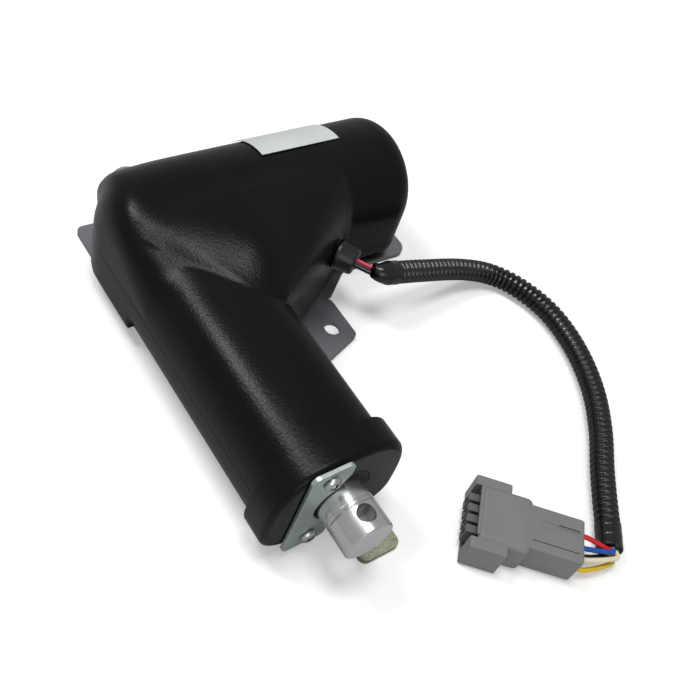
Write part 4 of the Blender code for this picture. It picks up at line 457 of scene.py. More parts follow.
def lofted(sections):
    """Closed skin through rings of points: one circle, extruded from station to station."""
    work = bmesh.new()
    ring = bmesh.ops.create_circle(work, segments=len(sections[0]), radius=1.0)["verts"]
    edges = list(work.edges)
    for vert, point in zip(ring, sections[0]):
        vert.co = point
    for section in sections[1:]:
        made = bmesh.ops.extrude_edge_only(work, edges=edges)["geom"]
        fresh = {part for part in made if isinstance(part, bmesh.types.BMVert)} - set(ring)
        edges = [part for part in made if isinstance(part, bmesh.types.BMEdge)
                 and all(vert in fresh for vert in part.verts)]
        ring = [next(edge.other_vert(vert) for edge in vert.link_edges if edge.other_vert(vert) in fresh)
                for vert in ring]
        for vert, point in zip(ring, section):
            vert.co = point
    bmesh.ops.holes_fill(work, edges=[edge for edge in work.edges if edge.is_boundary], sides=0)
    return work


def spun(profile, place, direction, sides=48, closed=False):
    """Body of revolution: a profile of (along, radius) pairs, spun round an axis."""
    work = bmesh.new()
    points = [work.verts.new((radius, 0.0, along)) for along, radius in profile]
    pairs = list(zip(points, points[1:])) + ([(points[-1], points[0])] if closed else [])
    edges = [work.edges.new(pair) for pair in pairs]
    bmesh.ops.spin(work, geom=points + edges, cent=(0, 0, 0), axis=(0, 0, 1), angle=2 * math.pi, steps=sides,
                   use_merge=True, use_normal_flip=False)
    bmesh.ops.remove_doubles(work, verts=work.verts, dist=0.0005)
    turn = Vector(direction).normalized().to_track_quat("Z", "Y").to_matrix().to_4x4()
    bmesh.ops.transform(work, matrix=Matrix.Translation(Vector(place)) @ turn, verts=work.verts)
    return work


def bar(place, direction, length, radius, sides=32):
    return shape("bar", spun([(0, 0), (0, radius), (length, radius), (length, 0)], place, direction, sides))


def boxed(low, high, turn=None):
    low, high = Vector(low), Vector(high)
    work = bmesh.new()
    bmesh.ops.create_cube(work, size=1.0)
    bmesh.ops.scale(work, vec=high - low, verts=work.verts)
    bmesh.ops.translate(work, vec=(low + high) / 2, verts=work.verts)
    if turn:
        bmesh.ops.transform(work, matrix=turn, verts=work.verts)
    return shape("box", work)


def prism(outline, low, high, turn=None):
    """Flat outline in X and Y, extruded in Z."""
    work = bmesh.new()
    ring = bmesh.ops.create_circle(work, segments=len(outline), radius=1.0, cap_ends=True)["verts"]
    for vert, (x, y) in zip(ring, outline):
        vert.co = (x, y, low)
    made = bmesh.ops.extrude_face_region(work, geom=list(work.faces))["geom"]
    raised = [part for part in made if isinstance(part, bmesh.types.BMVert)]
    bmesh.ops.translate(work, vec=(0, 0, high - low), verts=raised)
    if turn:
        bmesh.ops.transform(work, matrix=turn, verts=work.verts)
    return shape("prism", work)


def rounded(corners, radii, steps=8):
    """Closed outline with each corner replaced by an arc of its own radius."""
    outline = []
    for index, corner in enumerate(corners):
        here = Vector(corner)
        back = (Vector(corners[index - 1]) - here).normalized()
        ahead = (Vector(corners[(index + 1) % len(corners)]) - here).normalized()
        half = back.angle(ahead) / 2
        radius = radii[index]
        if radius <= 0:
            outline.append(tuple(here))
            continue
        centre = here + (back + ahead).normalized() * radius / math.sin(half)
        start = here + back * radius / math.tan(half) - centre
        end = here + ahead * radius / math.tan(half) - centre
        sweep = start.angle_signed(end)
        turns = [Matrix.Rotation(-sweep * step / steps, 2) for step in range(steps + 1)]
        outline += [tuple(centre + turn @ start) for turn in turns]
    return outline


def smooth_path(points, spacing):
    """Even points along a Catmull-Rom curve through a route's own points."""
    knots = [Vector(point) for point in points]
    knots = [2 * knots[0] - knots[1]] + knots + [2 * knots[-1] - knots[-2]]
    dense = []
    for a, b, c, d in zip(knots, knots[1:], knots[2:], knots[3:]):
        for step in range(24):
            t = step / 24
            dense.append(0.5 * (2 * b + (c - a) * t + (2 * a - 5 * b + 4 * c - d) * t * t
                                + (3 * b - a - 3 * c + d) * t ** 3))
    dense.append(knots[-2])
    lengths = [0.0]
    for near, far in zip(dense, dense[1:]):
        lengths.append(lengths[-1] + (far - near).length)
    count = max(2, round(lengths[-1] / spacing))
    path, index = [], 0
    for step in range(count + 1):
        target = lengths[-1] * step / count
        while index < len(dense) - 2 and lengths[index + 1] < target:
            index += 1
        share = (target - lengths[index]) / (lengths[index + 1] - lengths[index])
        path.append(dense[index].lerp(dense[index + 1], share))
    return path


def path_length(path):
    return sum((far - near).length for near, far in zip(path, path[1:]))


def tubed(path, radii, sides, squash=1.0):
    """Tube along a path, with a radius for each point; all in millimetres."""
    side = (path[1] - path[0]).cross(Vector((0, 0, 1))).normalized()
    sections = []
    for index, (point, radius) in enumerate(zip(path, radii)):
        ahead = (path[min(index + 1, len(path) - 1)] - path[max(index - 1, 0)]).normalized()
        side = (side - ahead * side.dot(ahead)).normalized()
        up = side.cross(ahead)
        angles = [2 * math.pi * step / sides for step in range(sides)]
        sections.append([point + radius * (side * math.cos(a) + up * math.sin(a) * squash) for a in angles])
    return lofted(sections)


def wire(name, points, radius, surface, slot, replaces, spacing=0.0012):
    """Round wire as a curve, through points in metres."""
    curve = bpy.data.curves.new(name, "CURVE")
    curve.dimensions = "3D"
    curve.bevel_depth = radius
    curve.bevel_resolution = 4
    curve.use_fill_caps = True
    path = smooth_path(points, spacing)
    spline = curve.splines.new("POLY")
    spline.points.add(len(path) - 1)
    for place, point in zip(spline.points, path):
        place.co = (*point, 1.0)
    curve.materials.append(surface)
    item = bpy.data.objects.new(name, curve)
    bpy.context.scene.collection.objects.link(item)
    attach(item, "housing")
    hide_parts(*replaces)
    return item


# Housing forms, as in the CAD source but finer


def arm_section(x, grow, count=96):
    width = ARM_HALF_WIDTH + grow
    rise, fall = ARM_TOP + ARM_WIDEST + grow, ARM_BOTTOM - ARM_WIDEST + grow
    points = []
    for step in range(count):
        angle = 2 * math.pi * step / count
        across = math.copysign(abs(math.cos(angle)) ** (2 / ARM_ROUNDNESS), math.cos(angle))
        up = math.copysign(abs(math.sin(angle)) ** (2 / ARM_ROUNDNESS), math.sin(angle))
        points.append((x, width * across, up * (rise if up > 0 else fall) - ARM_WIDEST))
    return points


def arm_form(grow, rear_x, front_x):
    return shape("arm", lofted([arm_section(rear_x, grow), arm_section(front_x, grow)]))


def crown_drop(y):
    reach = max(0.0, CROWN_START_Y - y) / (CROWN_START_Y + ARM_HALF_WIDTH)
    return CROWN_FALL * reach ** 1.8


def round_off(distance, radius):
    if distance >= radius:
        return 0.0
    return radius - math.sqrt(max(0.0, radius ** 2 - (radius - distance) ** 2))


def barrel_section(y, inset, arc_steps=56, corner_steps=5):
    left, right = -ARM_HALF_WIDTH + inset, BARREL_END_Y - inset
    end_back = round_off(right - y, BARREL_END_ROUND - inset)
    shoulder = round_off(y - left, BARREL_SHOULDER - inset)
    corner = round_off(y - left, REAR_CORNER - inset)
    top = BARREL_RADIUS - inset - crown_drop(y) - shoulder - end_back
    front = BARREL_RADIUS - inset - end_back
    rear = -BARREL_RADIUS + inset + end_back + corner
    floor = -BARREL_FLOOR + inset + 0.4 * end_back
    middle, half = (front + rear) / 2, (front - rear) / 2
    turn = max(0.5, BARREL_FLOOR_ROUND - inset)
    points = []
    for step in range(arc_steps + 1):
        angle = math.pi * step / arc_steps
        points.append((middle + half * math.cos(angle), y, top * math.sin(angle)))
    for step in range(corner_steps + 1):
        angle = math.pi / 2 * step / corner_steps
        points.append((rear + turn * (1 - math.cos(angle)), y, floor + turn * (1 - math.sin(angle))))
    for step in range(corner_steps + 1):
        angle = math.pi / 2 * step / corner_steps
        points.append((front - turn * (1 - math.sin(angle)), y, floor + turn * (1 - math.cos(angle))))
    return points


def barrel_form(inset):
    left, right = -ARM_HALF_WIDTH + inset, BARREL_END_Y - inset
    rear, end = REAR_CORNER - inset, BARREL_END_ROUND - inset
    stations = [left + rear * (1 - math.cos(math.pi / 2 * step / 16)) for step in range(17)]
    stations += [CROWN_START_Y]
    stations += [right - end * (1 - math.sin(math.pi / 2 * step / 10)) for step in range(11)]
    return shape("barrel", lofted([barrel_section(y, inset) for y in stations]))


def gusset_wall():
    near, far = Vector((GUSSET_ARM_X, ARM_HALF_WIDTH)), Vector((BARREL_RADIUS, GUSSET_END_Y))
    along = (far - near).normalized()
    return near, far, Vector((along.y, -along.x))


def gusset_form(inset):
    """Hull of the barrel's flank and the arm's shoulder: the dome between the two."""
    near, far, normal = gusset_wall()
    shrink = BARREL_RADIUS - 0.3 - inset
    radius = max(0.6, GUSSET_ROUND - inset)
    floor = -GUSSET_FLOOR + inset
    work = bmesh.new()
    for y in (GUSSET_START_Y + inset, -7.0, 0.0, 10.0, CROWN_START_Y, GUSSET_END_Y - inset):
        top = shrink - crown_drop(y)
        for step in range(41):
            angle = math.pi * step / 40
            work.verts.new((shrink * math.cos(angle), y, top * math.sin(angle)))
        work.verts.new((shrink, y, floor))
    reach = inset + radius
    tops = ((near - normal * reach, GUSSET_WALL_TOP), (far - normal * reach, 1.0),
            (near + Vector(GUSSET_PEAK_SHIFT) - normal * reach, GUSSET_PEAK_TOP))
    for place, top in tops:
        ball = Matrix.Translation((place.x, place.y, top - reach))
        bmesh.ops.create_uvsphere(work, u_segments=24, v_segments=12, radius=radius, matrix=ball)
        foot = Matrix.Translation((place.x, place.y, floor))
        bmesh.ops.create_circle(work, segments=24, radius=radius, matrix=foot)
    bmesh.ops.delete(work, geom=list(work.edges), context="EDGES_FACES")
    left = -ARM_HALF_WIDTH + inset
    extra = [(x - inset / 2, y, z - inset) for x, y, z in GUSSET_CREASE]
    for share in (0.0, 0.04, 0.08, 0.14, 0.2, 0.3, 0.4, 0.55, 0.7, 0.85):
        section = barrel_section(left + share * (GUSSET_START_Y - left), inset)
        extra += [point for point in section if point[0] > 0 and point[2] > PARTING_LEFT]
    extra += [point for point in arm_section(GUSSET_SHOULDER_X, -inset)
              if point[1] < -GUSSET_SHOULDER_Y + inset and point[2] > PARTING_LEFT]
    for point in extra:
        work.verts.new(point)
    bmesh.ops.convex_hull(work, input=work.verts)
    bmesh.ops.delete(work, geom=[vert for vert in work.verts if not vert.link_faces], context="VERTS")
    return shape("gusset", work)


def boot_place():
    near, far, normal = gusset_wall()
    foot = near.lerp(far, (BOOT_Y - near.y) / (far.y - near.y))
    return Vector((foot.x, foot.y, -BOOT_BELOW_AXIS)), Vector((normal.x, normal.y, 0.0))


def parting_form(rise):
    """Everything below the stepped parting face."""
    reach = 300.0
    left, right, step_y = PARTING_LEFT + rise, PARTING_RIGHT + rise, PARTING_STEP_Y + rise
    profile = [(-reach, -reach), (reach, -reach), (reach, right), (step_y, right), (step_y, left),
               (-reach, left)]
    return shape("parting", lofted([[(x, y, z) for y, z in profile] for x in (-reach, reach)]))


def eased(value, low, high):
    """0 below low, 1 above high and a soft rise between them."""
    share = min(1.0, max(0.0, (value - low) / (high - low)))
    return share * share * (3 - 2 * share)


def nearest_share(point, start, end):
    """How far along a span the place nearest to a point lies, from 0 to 1."""
    return min(1.0, max(0.0, (point - start).dot(end - start) / (end - start).length_squared))


def broad_share(point):
    """How much a point of the skin takes part in the broad fillets, which leave the dome's crease crisp."""
    boot = boot_place()[0]
    stud = Vector((-BARREL_RADIUS, 0.0, 0.0))
    crease = min((point - start.lerp(end, nearest_share(point, start, end))).length
                 for start, end in DOME_SPANS)
    clear = eased(crease, *FILLET_FROM_CREASE) * eased((point - boot).length, *FILLET_FROM_BOOT)
    clear *= eased((point - stud).length, *FILLET_FROM_STUD)
    ends = (1 - eased(point.x, *FILLET_TO_ARM_END)) * (1 - eased(point.y, *FILLET_TO_BARREL_END))
    return clear * eased(point.z, *FILLET_FROM_BELOW) * ends


def swell_share(point):
    """How far a point on top of the dome takes part in its swelling, which rises steeply from the crease."""
    flat = point.xy
    offsets = []
    for start, end in DOME_SPANS:
        span = end.xy - start.xy
        offset = flat - start.xy.lerp(end.xy, nearest_share(flat, start.xy, end.xy))
        side = span.x * offset.y - span.y * offset.x
        offsets.append((offset.length, math.copysign(offset.length, side)))
    inward = min(offsets)[1]
    first, last = DOME_SPANS[0][0].xy, DOME_SPANS[-1][1].xy
    along = (flat - first).dot((last - first).normalized())
    ends = eased(along, *SWELL_FROM_START) * (1 - eased(along, *SWELL_TO_END))
    below = max(0.0, BARREL_RADIUS - point.z) / DOME_RISE
    clear = eased(point.x, *SWELL_FROM_MIDDLE) * eased(point.z, *SWELL_FROM_BELOW)
    return eased(inward, *SWELL_FROM_CREASE) * min(1.0, below) * ends * clear


def smoothed(item, rounds, group=""):
    """Relax the skin of an object, or of one group of its vertices, and bake the result."""
    relax = item.modifiers.new("fillets", "SMOOTH")
    relax.factor = 0.5
    relax.iterations = rounds
    relax.vertex_group = group
    return applied(item)


def outer_skin(look):
    """Outer form of the closed housing, with its creases rounded by a fine remesh and its dome swollen."""
    place, normal = boot_place()
    skin = barrel_form(0.0)
    merged(skin, gusset_form(0.0), arm_form(0.0, REAR_CORNER - BARREL_RADIUS, ARM_END_X))
    cut(skin, boxed(*REAR_UNDERCUT))
    merged(skin, bar(place - normal * BOOT_BOSS_DEPTH, normal, BOOT_BOSS_DEPTH + 0.6, BOOT_BOSS_RADIUS),
           bar((-BARREL_RADIUS - REAR_BOSS_PROUD, 0, 0), ALONG_X, WALL + REAR_BOSS_PROUD, REAR_BOSS_RADIUS))
    remesh = skin.modifiers.new("skin", "REMESH")
    remesh.mode = "VOXEL"
    remesh.voxel_size = look.voxel
    smoothed(skin, 4)
    broad = skin.vertex_groups.new(name="broad_fillets")
    for vertex in skin.data.vertices:
        share = broad_share(vertex.co)
        if share > 0:
            broad.add((vertex.index,), share, "REPLACE")
    smoothed(skin, look.blending, broad.name)
    for vertex in skin.data.vertices:
        vertex.co.z += look.swell * swell_share(vertex.co)
    return merged(skin, boxed((FOOT_REAR_X, -FOOT_HALF_WIDTH, -HOUSING_DEPTH),
                              (CAP_REAR_X - 4, FOOT_HALF_WIDTH, FOOT_TOP)),
                  boxed((SIDE_FOOT_REAR_X, 0, -HOUSING_DEPTH),
                        (BARREL_RADIUS - 6, BARREL_END_Y - 6, SIDE_FOOT_TOP)))


def housing_skin(look):
    """Both halves of the housing in one: the outer skin, its hollow, its screw bosses and its ribs."""
    place, normal = boot_place()
    skin = outer_skin(look)
    hollow = barrel_form(WALL)
    merged(hollow, gusset_form(WALL), arm_form(-WALL, REAR_CORNER - BARREL_RADIUS, ARM_END_X + 1))
    cut(hollow, *(boxed(low, high) for low, high in THICK_CORNERS))
    cut(skin, hollow)
    merged(skin, bar((-BARREL_RADIUS + 1.2, 0, 0), ALONG_X, WALL + 1.6, REAR_PAD_RADIUS))
    ribs = [(x, y, math.copysign(ARM_RIB_Y, y)) for x, y in SCREW_PLACES[1:3]]
    ribs += [(x, y, BARREL_RIB_Y) for x, y in SCREW_PLACES[3:]]
    for x, y in SCREW_PLACES:
        boss_height = HOUSING_DEPTH + SCREW_BOSS_TOP
        merged(skin, bar((x, y, -HOUSING_DEPTH), UPWARDS, boss_height, SCREW_BOSS_RADIUS, 24))
    for x, y, side in ribs:
        merged(skin, boxed((x - RIB_HALF_THICKNESS, min(y, side), RIB_LOW),
                           (x + RIB_HALF_THICKNESS, max(y, side), RIB_HIGH)))
    for x, y in SCREW_PLACES:
        cut(skin, bar((x, y, -HOUSING_DEPTH - 1), UPWARDS, HOUSING_DEPTH + 7, SCREW_HOLE_RADIUS, 16))
    return cut(skin, bar((-BARREL_RADIUS - 1, 0, 0), ALONG_X, 15, STUD_RADIUS + GAP),
               bar(place + normal, -normal, 15, BOOT_HOLE_RADIUS))


class ACTUATOR_OT_housing(bpy.types.Operator):
    """Mould the two halves of the L-shaped housing"""
    bl_idname = "actuator.housing"
    bl_label = "Housing"

    def execute(self, context):
        look = context.scene.actuator_housing
        upper = housing_skin(look)
        upper.name = "upper_shell"
        lower = upper.copy()
        lower.data = upper.data.copy()
        lower.name = "lower_shell"
        context.scene.collection.objects.link(lower)
        cut(upper, parting_form(GAP / 2))
        combined(lower, "INTERSECT", parting_form(-GAP / 2))
        for half, node in ((upper, "upper_housing"), (lower, "lower_housing")):
            dressed(half, moulded_black(f"{node}_plastic", look), (node,), angle=40)
        return {"FINISHED"}


class ACTUATOR_OT_end_cap(bpy.types.Operator):
    """Make the cap over the arm's front end"""
    bl_idname = "actuator.end_cap"
    bl_label = "End cap"

    def execute(self, context):
        look = context.scene.actuator_housing
        stations = [(CAP_REAR_X, CAP_PROUD - 0.3), (CAP_REAR_X + 0.1, CAP_PROUD - 0.1),
                    (CAP_REAR_X + 0.35, CAP_PROUD)]
        for step in range(13):
            turn = math.pi / 2 * step / 12
            stations.append((CAP_FRONT_X - CAP_ROUND * (1 - math.sin(turn)),
                             CAP_PROUD - CAP_ROUND * (1 - math.cos(turn))))
        cap = shape("cap_moulding", lofted([arm_section(x, proud, 160) for x, proud in stations]))
        pocket = CAP_REAR_X + CAP_LAP + GAP
        cut(cap, arm_form(GAP, CAP_REAR_X - 5, pocket),
            bar((CAP_REAR_X, 0, 0), ALONG_X, 20, WIPER_BORE_RADIUS, 64))
        for y, z in RETAINER_SCREWS:
            cut(cap, bar((pocket - 1, y, z), ALONG_X, 12, RETAINER_HOLE_RADIUS, 16))
        surface = moulded_black("end_cap_plastic", look)
        dressed(cap, surface, ("end_cap",), angle=38, flats=True)
        return {"FINISHED"}


def retainer_outline():
    notch, lip_y, lip_z = 10.8, -5.0, 6.0
    start = math.atan2(notch, lip_y)
    sweep = 2 * (math.pi - start)
    angles = [start + sweep * step / 40 for step in range(41)]
    corners = [(-18.6, -24.1, 3.0), (-17.0, 23.3, 3.0), (-0.3, 23.3, 2.5), (-0.3, notch + lip_z, 2.5)]
    corners += [(notch * math.cos(angle), notch * math.sin(angle), 0.0) for angle in angles]
    corners += [(-0.3, -notch - lip_z, 2.5), (-0.3, -24.1, 2.5)]
    return rounded([(y, z) for y, z, _ in corners], [radius for _, _, radius in corners])


FACING_FRONT = Matrix(((0, 0, 1, 0), (1, 0, 0, 0), (0, 1, 0, 0), (0, 0, 0, 1)))


class ACTUATOR_OT_retainer(bpy.types.Operator):
    """Make the half plate that holds the rod's wiper, and its two screws"""
    bl_idname = "actuator.retainer"
    bl_label = "Retainer plate"

    def execute(self, context):
        look = context.scene.actuator_metal
        rear = CAP_FRONT_X + GAP
        plate = prism(retainer_outline(), rear, rear + RETAINER_THICKNESS, FACING_FRONT)
        plate.name = "wiper_plate"
        for y, z in RETAINER_SCREWS:
            cut(plate, bar((rear - 1, y, z), ALONG_X, 4, RETAINER_HOLE_RADIUS))
        softened(plate, 0.25, 2, 50)
        dressed(plate, zinc_plating("retainer_zinc", look), ("retainer_plate",), flats=True)
        seat = rear + RETAINER_THICKNESS + GAP
        head, shank, shank_length = 3.2, 1.5, 6
        profile = [(-shank_length, 0), (-shank_length, shank), (0, shank), (0, head - 0.15), (0.15, head),
                   (0.8, head), (1.3, head * 0.9), (1.75, head * 0.68), (2.0, head * 0.42), (2.1, 0)]
        for index, (y, z) in enumerate(RETAINER_SCREWS, start=1):
            screw = shape(f"pan_screw_{index}", spun(profile, (seat, y, z), ALONG_X, 40))
            turn = Matrix.Translation((seat + 2.1, y, z)) @ Matrix.Rotation(0.5 + index, 4, "X")
            for half in ((1.0, 0.42, 1.9), (1.0, 1.9, 0.42)):
                cut(screw, boxed([-size for size in half], half, turn))
            steel = plain_metal(f"pan_screw_steel_{index}", (0.60, 0.61, 0.60), 0.26)
            dressed(screw, steel, (f"retainer_screw_{index}",))
        return {"FINISHED"}


class ACTUATOR_OT_rod(bpy.types.Operator):
    """Turn the rod, with its chamfered tip, its grooves and its cross hole"""
    bl_idname = "actuator.rod"
    bl_label = "Rod"

    def execute(self, context):
        look = context.scene.actuator_metal
        tip, radius, groove = ROD_TIP_X, ROD_RADIUS, ROD_TIP_X - 11.0
        bore_floor = ROD_REAR_X + SPIGOT_BORE_DEPTH
        profile = [(tip, 0), (tip, radius - 0.7), (tip - 0.25, radius - 0.25), (tip - 0.7, radius),
                   (groove + 0.55, radius), (groove + 0.35, radius - 0.3), (groove - 0.1, radius - 0.35),
                   (groove - 0.3, radius - 0.05), (groove - 0.9, radius - 0.05), (groove - 1.1, radius - 0.3),
                   (groove - 1.5, radius - 0.3), (groove - 1.65, radius), (ROD_REAR_X + 0.4, radius),
                   (ROD_REAR_X, radius - 0.4), (ROD_REAR_X, SPIGOT_BORE_RADIUS),
                   (bore_floor, SPIGOT_BORE_RADIUS), (bore_floor, SCREW_BORE_RADIUS),
                   (SCREW_BORE_END_X, SCREW_BORE_RADIUS), (SCREW_BORE_END_X, 0)]
        rod = shape("rod_bar", spun(profile, (0, 0, 0), ALONG_X, 96))
        hole = [(-20, 0), (-20, ROD_HOLE_RADIUS), (20, ROD_HOLE_RADIUS), (20, 0)]
        cut(rod, shape("eye", spun(hole, (ROD_HOLE_X, 0, 0), UPWARDS, 64)))
        softened(rod, 0.12, 1, 60)
        surface = turned_metal("rod_turned", look.rod_colour, look.lathe_pitch, tip=(ROD_TIP_X - 0.1) * 0.001)
        dressed(rod, surface, ("actuator_rod",), body="rod", angle=30, flats=True)
        return {"FINISHED"}


def plate_outline():
    ear_low, ear_high = FRONT_EAR_HOLE[1] - EAR_HALF_WIDTH, FRONT_EAR_HOLE[1] + EAR_HALF_WIDTH
    corners = [(-34.0, -19.0, 3.0), (126.0, -19.0, 6.0), (126.0, ear_low, 3.0), (150.7, ear_low, 3.0),
               (150.7, ear_high, 3.0), (76.8, ear_high, 6.0), (62.0, 64.8, 3.0), (40.3, 64.8, 2.6),
               (39.4, 61.5, 0.6), (38.6, 67.0, 3.0), (27.9, 80.5, 4.0), (28.6, 117.4, 6.0),
               (-34.0, 117.4, 6.0)]
    return rounded([(x, y) for x, y, _ in corners], [radius for _, _, radius in corners])


class ACTUATOR_OT_mounting_plate(bpy.types.Operator):
    """Stamp the zinc-plated mounting plate with its ears"""
    bl_idname = "actuator.mounting_plate"
    bl_label = "Mounting plate"

    def execute(self, context):
        look = context.scene.actuator_metal
        plate = prism(plate_outline(), PLATE_TOP - PLATE_THICKNESS, PLATE_TOP)
        plate.name = "stamped_plate"
        for x, y in (FRONT_EAR_HOLE, SIDE_EAR_HOLE):
            cut(plate, bar((x, y, PLATE_TOP - 4), UPWARDS, 8, EAR_HOLE_RADIUS, 48))
        sink = [(0, 0), (0, SINK_RADIUS), (3.0, SCREW_HOLE_RADIUS), (4.3, SCREW_HOLE_RADIUS), (4.3, 0)]
        for x, y in SCREW_PLACES:
            cut(plate, shape("sink", spun(sink, (x, y, PLATE_TOP - 3.3), UPWARDS, 40)))
        softened(plate, 0.3, 2, 50)
        dressed(plate, zinc_plating("plate_zinc", look, True), ("mounting_plate",), flats=True)
        return {"FINISHED"}


class ACTUATOR_OT_rear_fixing(bpy.types.Operator):
    """Make the nut, the washer and the threaded stud behind the barrel"""
    bl_idname = "actuator.rear_fixing"
    bl_label = "Rear fixing"

    def execute(self, context):
        outer_wall = -BARREL_RADIUS - REAR_BOSS_PROUD
        washer_rear = outer_wall - GAP - WASHER_THICKNESS
        nut_rear, tall, flat = washer_rear - GAP - NUT_HEIGHT, NUT_HEIGHT, NUT_ACROSS_FLATS / 2
        across, hole = flat / math.cos(math.pi / 6), STUD_RADIUS + GAP
        prism_profile = [(0, 0), (0, across), (tall, across), (tall, 0)]
        nut = shape("hex_nut", spun(prism_profile, (nut_rear, 0, 0), ALONG_X, 6))
        cone = [(0, 0), (0, flat - 0.3), (0.3 * tall, across + 0.1), (0.8 * tall, across + 0.1), (tall, flat),
                (tall, 0)]
        combined(nut, "INTERSECT", shape("cone", spun(cone, (nut_rear, 0, 0), ALONG_X, 64)))
        cut(nut, bar((nut_rear - 1, 0, 0), ALONG_X, tall + 2, hole, 48))
        dressed(nut, plain_metal("rear_nut_zinc", (0.60, 0.62, 0.58), 0.3), ("rear_nut",))
        thick, wide = WASHER_THICKNESS, WASHER_RADIUS
        ring = [(0, hole), (0, wide - 0.15), (0.15, wide), (thick - 0.15, wide), (thick, wide - 0.15),
                (thick, hole)]
        washer = shape("flat_washer", spun(ring, (washer_rear, 0, 0), ALONG_X, 64, closed=True))
        dressed(washer, plain_metal("rear_washer_black", (0.05, 0.05, 0.05), 0.4), ("rear_washer",))
        rear = nut_rear - 0.8
        profile, place = [(rear, 0), (rear, STUD_RADIUS - 0.5)], rear + STUD_PITCH
        while place < outer_wall:
            profile += [(place, STUD_RADIUS), (place + STUD_PITCH / 2, STUD_RADIUS - 0.4)]
            place += STUD_PITCH
        profile += [(STUD_SEAT_X, STUD_RADIUS), (STUD_SEAT_X, STUD_FLANGE_RADIUS - 0.2),
                    (STUD_SEAT_X + 0.2, STUD_FLANGE_RADIUS), (STUD_FRONT_X, STUD_FLANGE_RADIUS),
                    (STUD_FRONT_X, STUD_BORE_RADIUS), (STUD_BORE_X, STUD_BORE_RADIUS), (STUD_BORE_X, 0)]
        stud = shape("threaded_stud", spun(profile, (0, 0, 0), ALONG_X, 48))
        dressed(stud, plain_metal("rear_stud_steel", (0.55, 0.56, 0.54), 0.3), ("rear_stud",))
        return {"FINISHED"}


class ACTUATOR_OT_label(bpy.types.Operator):
    """Lay the bare silver label over the barrel"""
    bl_idname = "actuator.label"
    bl_label = "Label"

    def execute(self, context):
        inner, outer = BARREL_RADIUS + GAP, BARREL_RADIUS + 2 * GAP
        angles = [LABEL_START + (LABEL_END - LABEL_START) * step / 40 for step in range(41)]
        sections = []
        for y in LABEL_STATIONS:
            section = [(outer * math.cos(a), y, outer * math.sin(a)) for a in angles]
            section += [(inner * math.cos(a), y, inner * math.sin(a)) for a in reversed(angles)]
            sections.append(section)
        label = shape("silver_label", lofted(sections))
        paint = Paint("label_silver", (0.60, 0.62, 0.61), 0.36, 0.35)
        fleck = paint.noise(3000.0, 2.0)
        cloud = paint.noise(40.0, 3.0)
        paint.finish(colour=paint.mixed(cloud, (0.66, 0.69, 0.69), (0.82, 0.85, 0.85)),
                     roughness=0.30 + fleck * 0.12, height=fleck, depth=0.00002, strength=0.4)
        dressed(label, paint.material, ("label",))
        return {"FINISHED"}


def loom_taper(along):
    """Share of its full radius that the loom has near its start, with the distance in millimetres."""
    return 0.62 + 0.38 * min(1.0, along / 7)


def loom_piece(look, fine, start_tape, end_tape):
    """Corrugated loom along its route; under the tapes it is plain and narrows towards its ends."""
    to_axis, total = TO_ROW.inverted(), path_length(fine) * 1000
    radii = []
    for index in range(len(fine)):
        along = total * index / (len(fine) - 1)
        if start_tape - 1 < along < end_tape + 1:
            wave = 0.5 + 0.5 * math.cos(2 * math.pi * along / look.rib_pitch)
            radii.append(LOOM_RADIUS - look.rib_depth * (1 - min(1.0, wave * 1.7) ** 0.7))
        else:
            radii.append((LOOM_RADIUS - 0.5) * loom_taper(along))
    loom = shape("corrugated_loom", tubed([to_axis @ point for point in fine], radii, look.sides))
    paint = Paint("loom_plastic", (0.003, 0.003, 0.0035), 0.2, specular_ior_level=0.6)
    dust = paint.noise(700.0, 3.0)
    paint.finish(colour=paint.mixed(dust, (0.002, 0.002, 0.0025), (0.005, 0.005, 0.006)),
                 roughness=0.20 + dust * 0.10, height=dust, depth=0.00001, strength=0.2)
    return dressed(loom, paint.material, ("cable_loom",), angle=60)


def tape_piece(name, node, fine, first, last):
    """Vinyl tape wound round the loom between two distances along it, in millimetres."""
    to_axis, total = TO_ROW.inverted(), path_length(fine) * 1000
    count = max(8, round((last - first) / 0.25))
    path, sizes = [], []
    for step in range(count + 1):
        along = first + (last - first) * step / count
        path.append(to_axis @ fine[min(len(fine) - 1, round(along / total * (len(fine) - 1)))])
        wrap = TAPE_OVERLAP * ((along % TAPE_TURN) / TAPE_TURN)
        sizes.append((TAPE_RADIUS - 0.15 + wrap) * loom_taper(along))
    path = [point for index, point in enumerate(path)
            if index == 0 or (point - path[index - 1]).length > 0.01]
    tape = shape(name, tubed(path, sizes[:len(path)], 32))
    skin = Paint(name + "_vinyl", (0.004, 0.004, 0.0045), 0.22)
    weave = skin.noise(500.0, 4.0)
    skin.finish(colour=skin.mixed(weave, (0.003, 0.003, 0.0035), (0.010, 0.010, 0.011)),
                roughness=0.14 + weave * 0.18, height=weave, depth=0.00006, strength=0.4)
    return dressed(tape, skin.material, (node,), angle=50)


def boot_piece():
    """Rubber boot that leads the wires out of the gusset's wall."""
    place, normal = boot_place()
    nose = 9.0
    profile = [(-4.5, 2.8), (-4.5, 4.6), (0.9, 4.6), (0.9, 6.6), (1.1, 7.0), (2.3, 7.0), (2.7, 6.8),
               (3.2, 6.5), (nose - 0.6, 5.85), (nose - 0.1, 5.6), (nose + 0.4, 5.1), (nose + 0.4, 3.3),
               (nose - 0.1, 2.8)]
    boot = shape("rubber_boot", spun(profile, place, normal, 56, closed=True))
    rubber = plain_plastic("boot_rubber", (0.005, 0.005, 0.0055), 0.36, 1100.0, 0.00005)
    return dressed(boot, rubber, ("cable_boot",))


def insulated(name, node, slot, colour, points, radius):
    surface = plain_plastic(name + "_insulation", colour, 0.32, 600.0, 0.00001)
    return wire(name, points, radius, surface, slot, (node,))


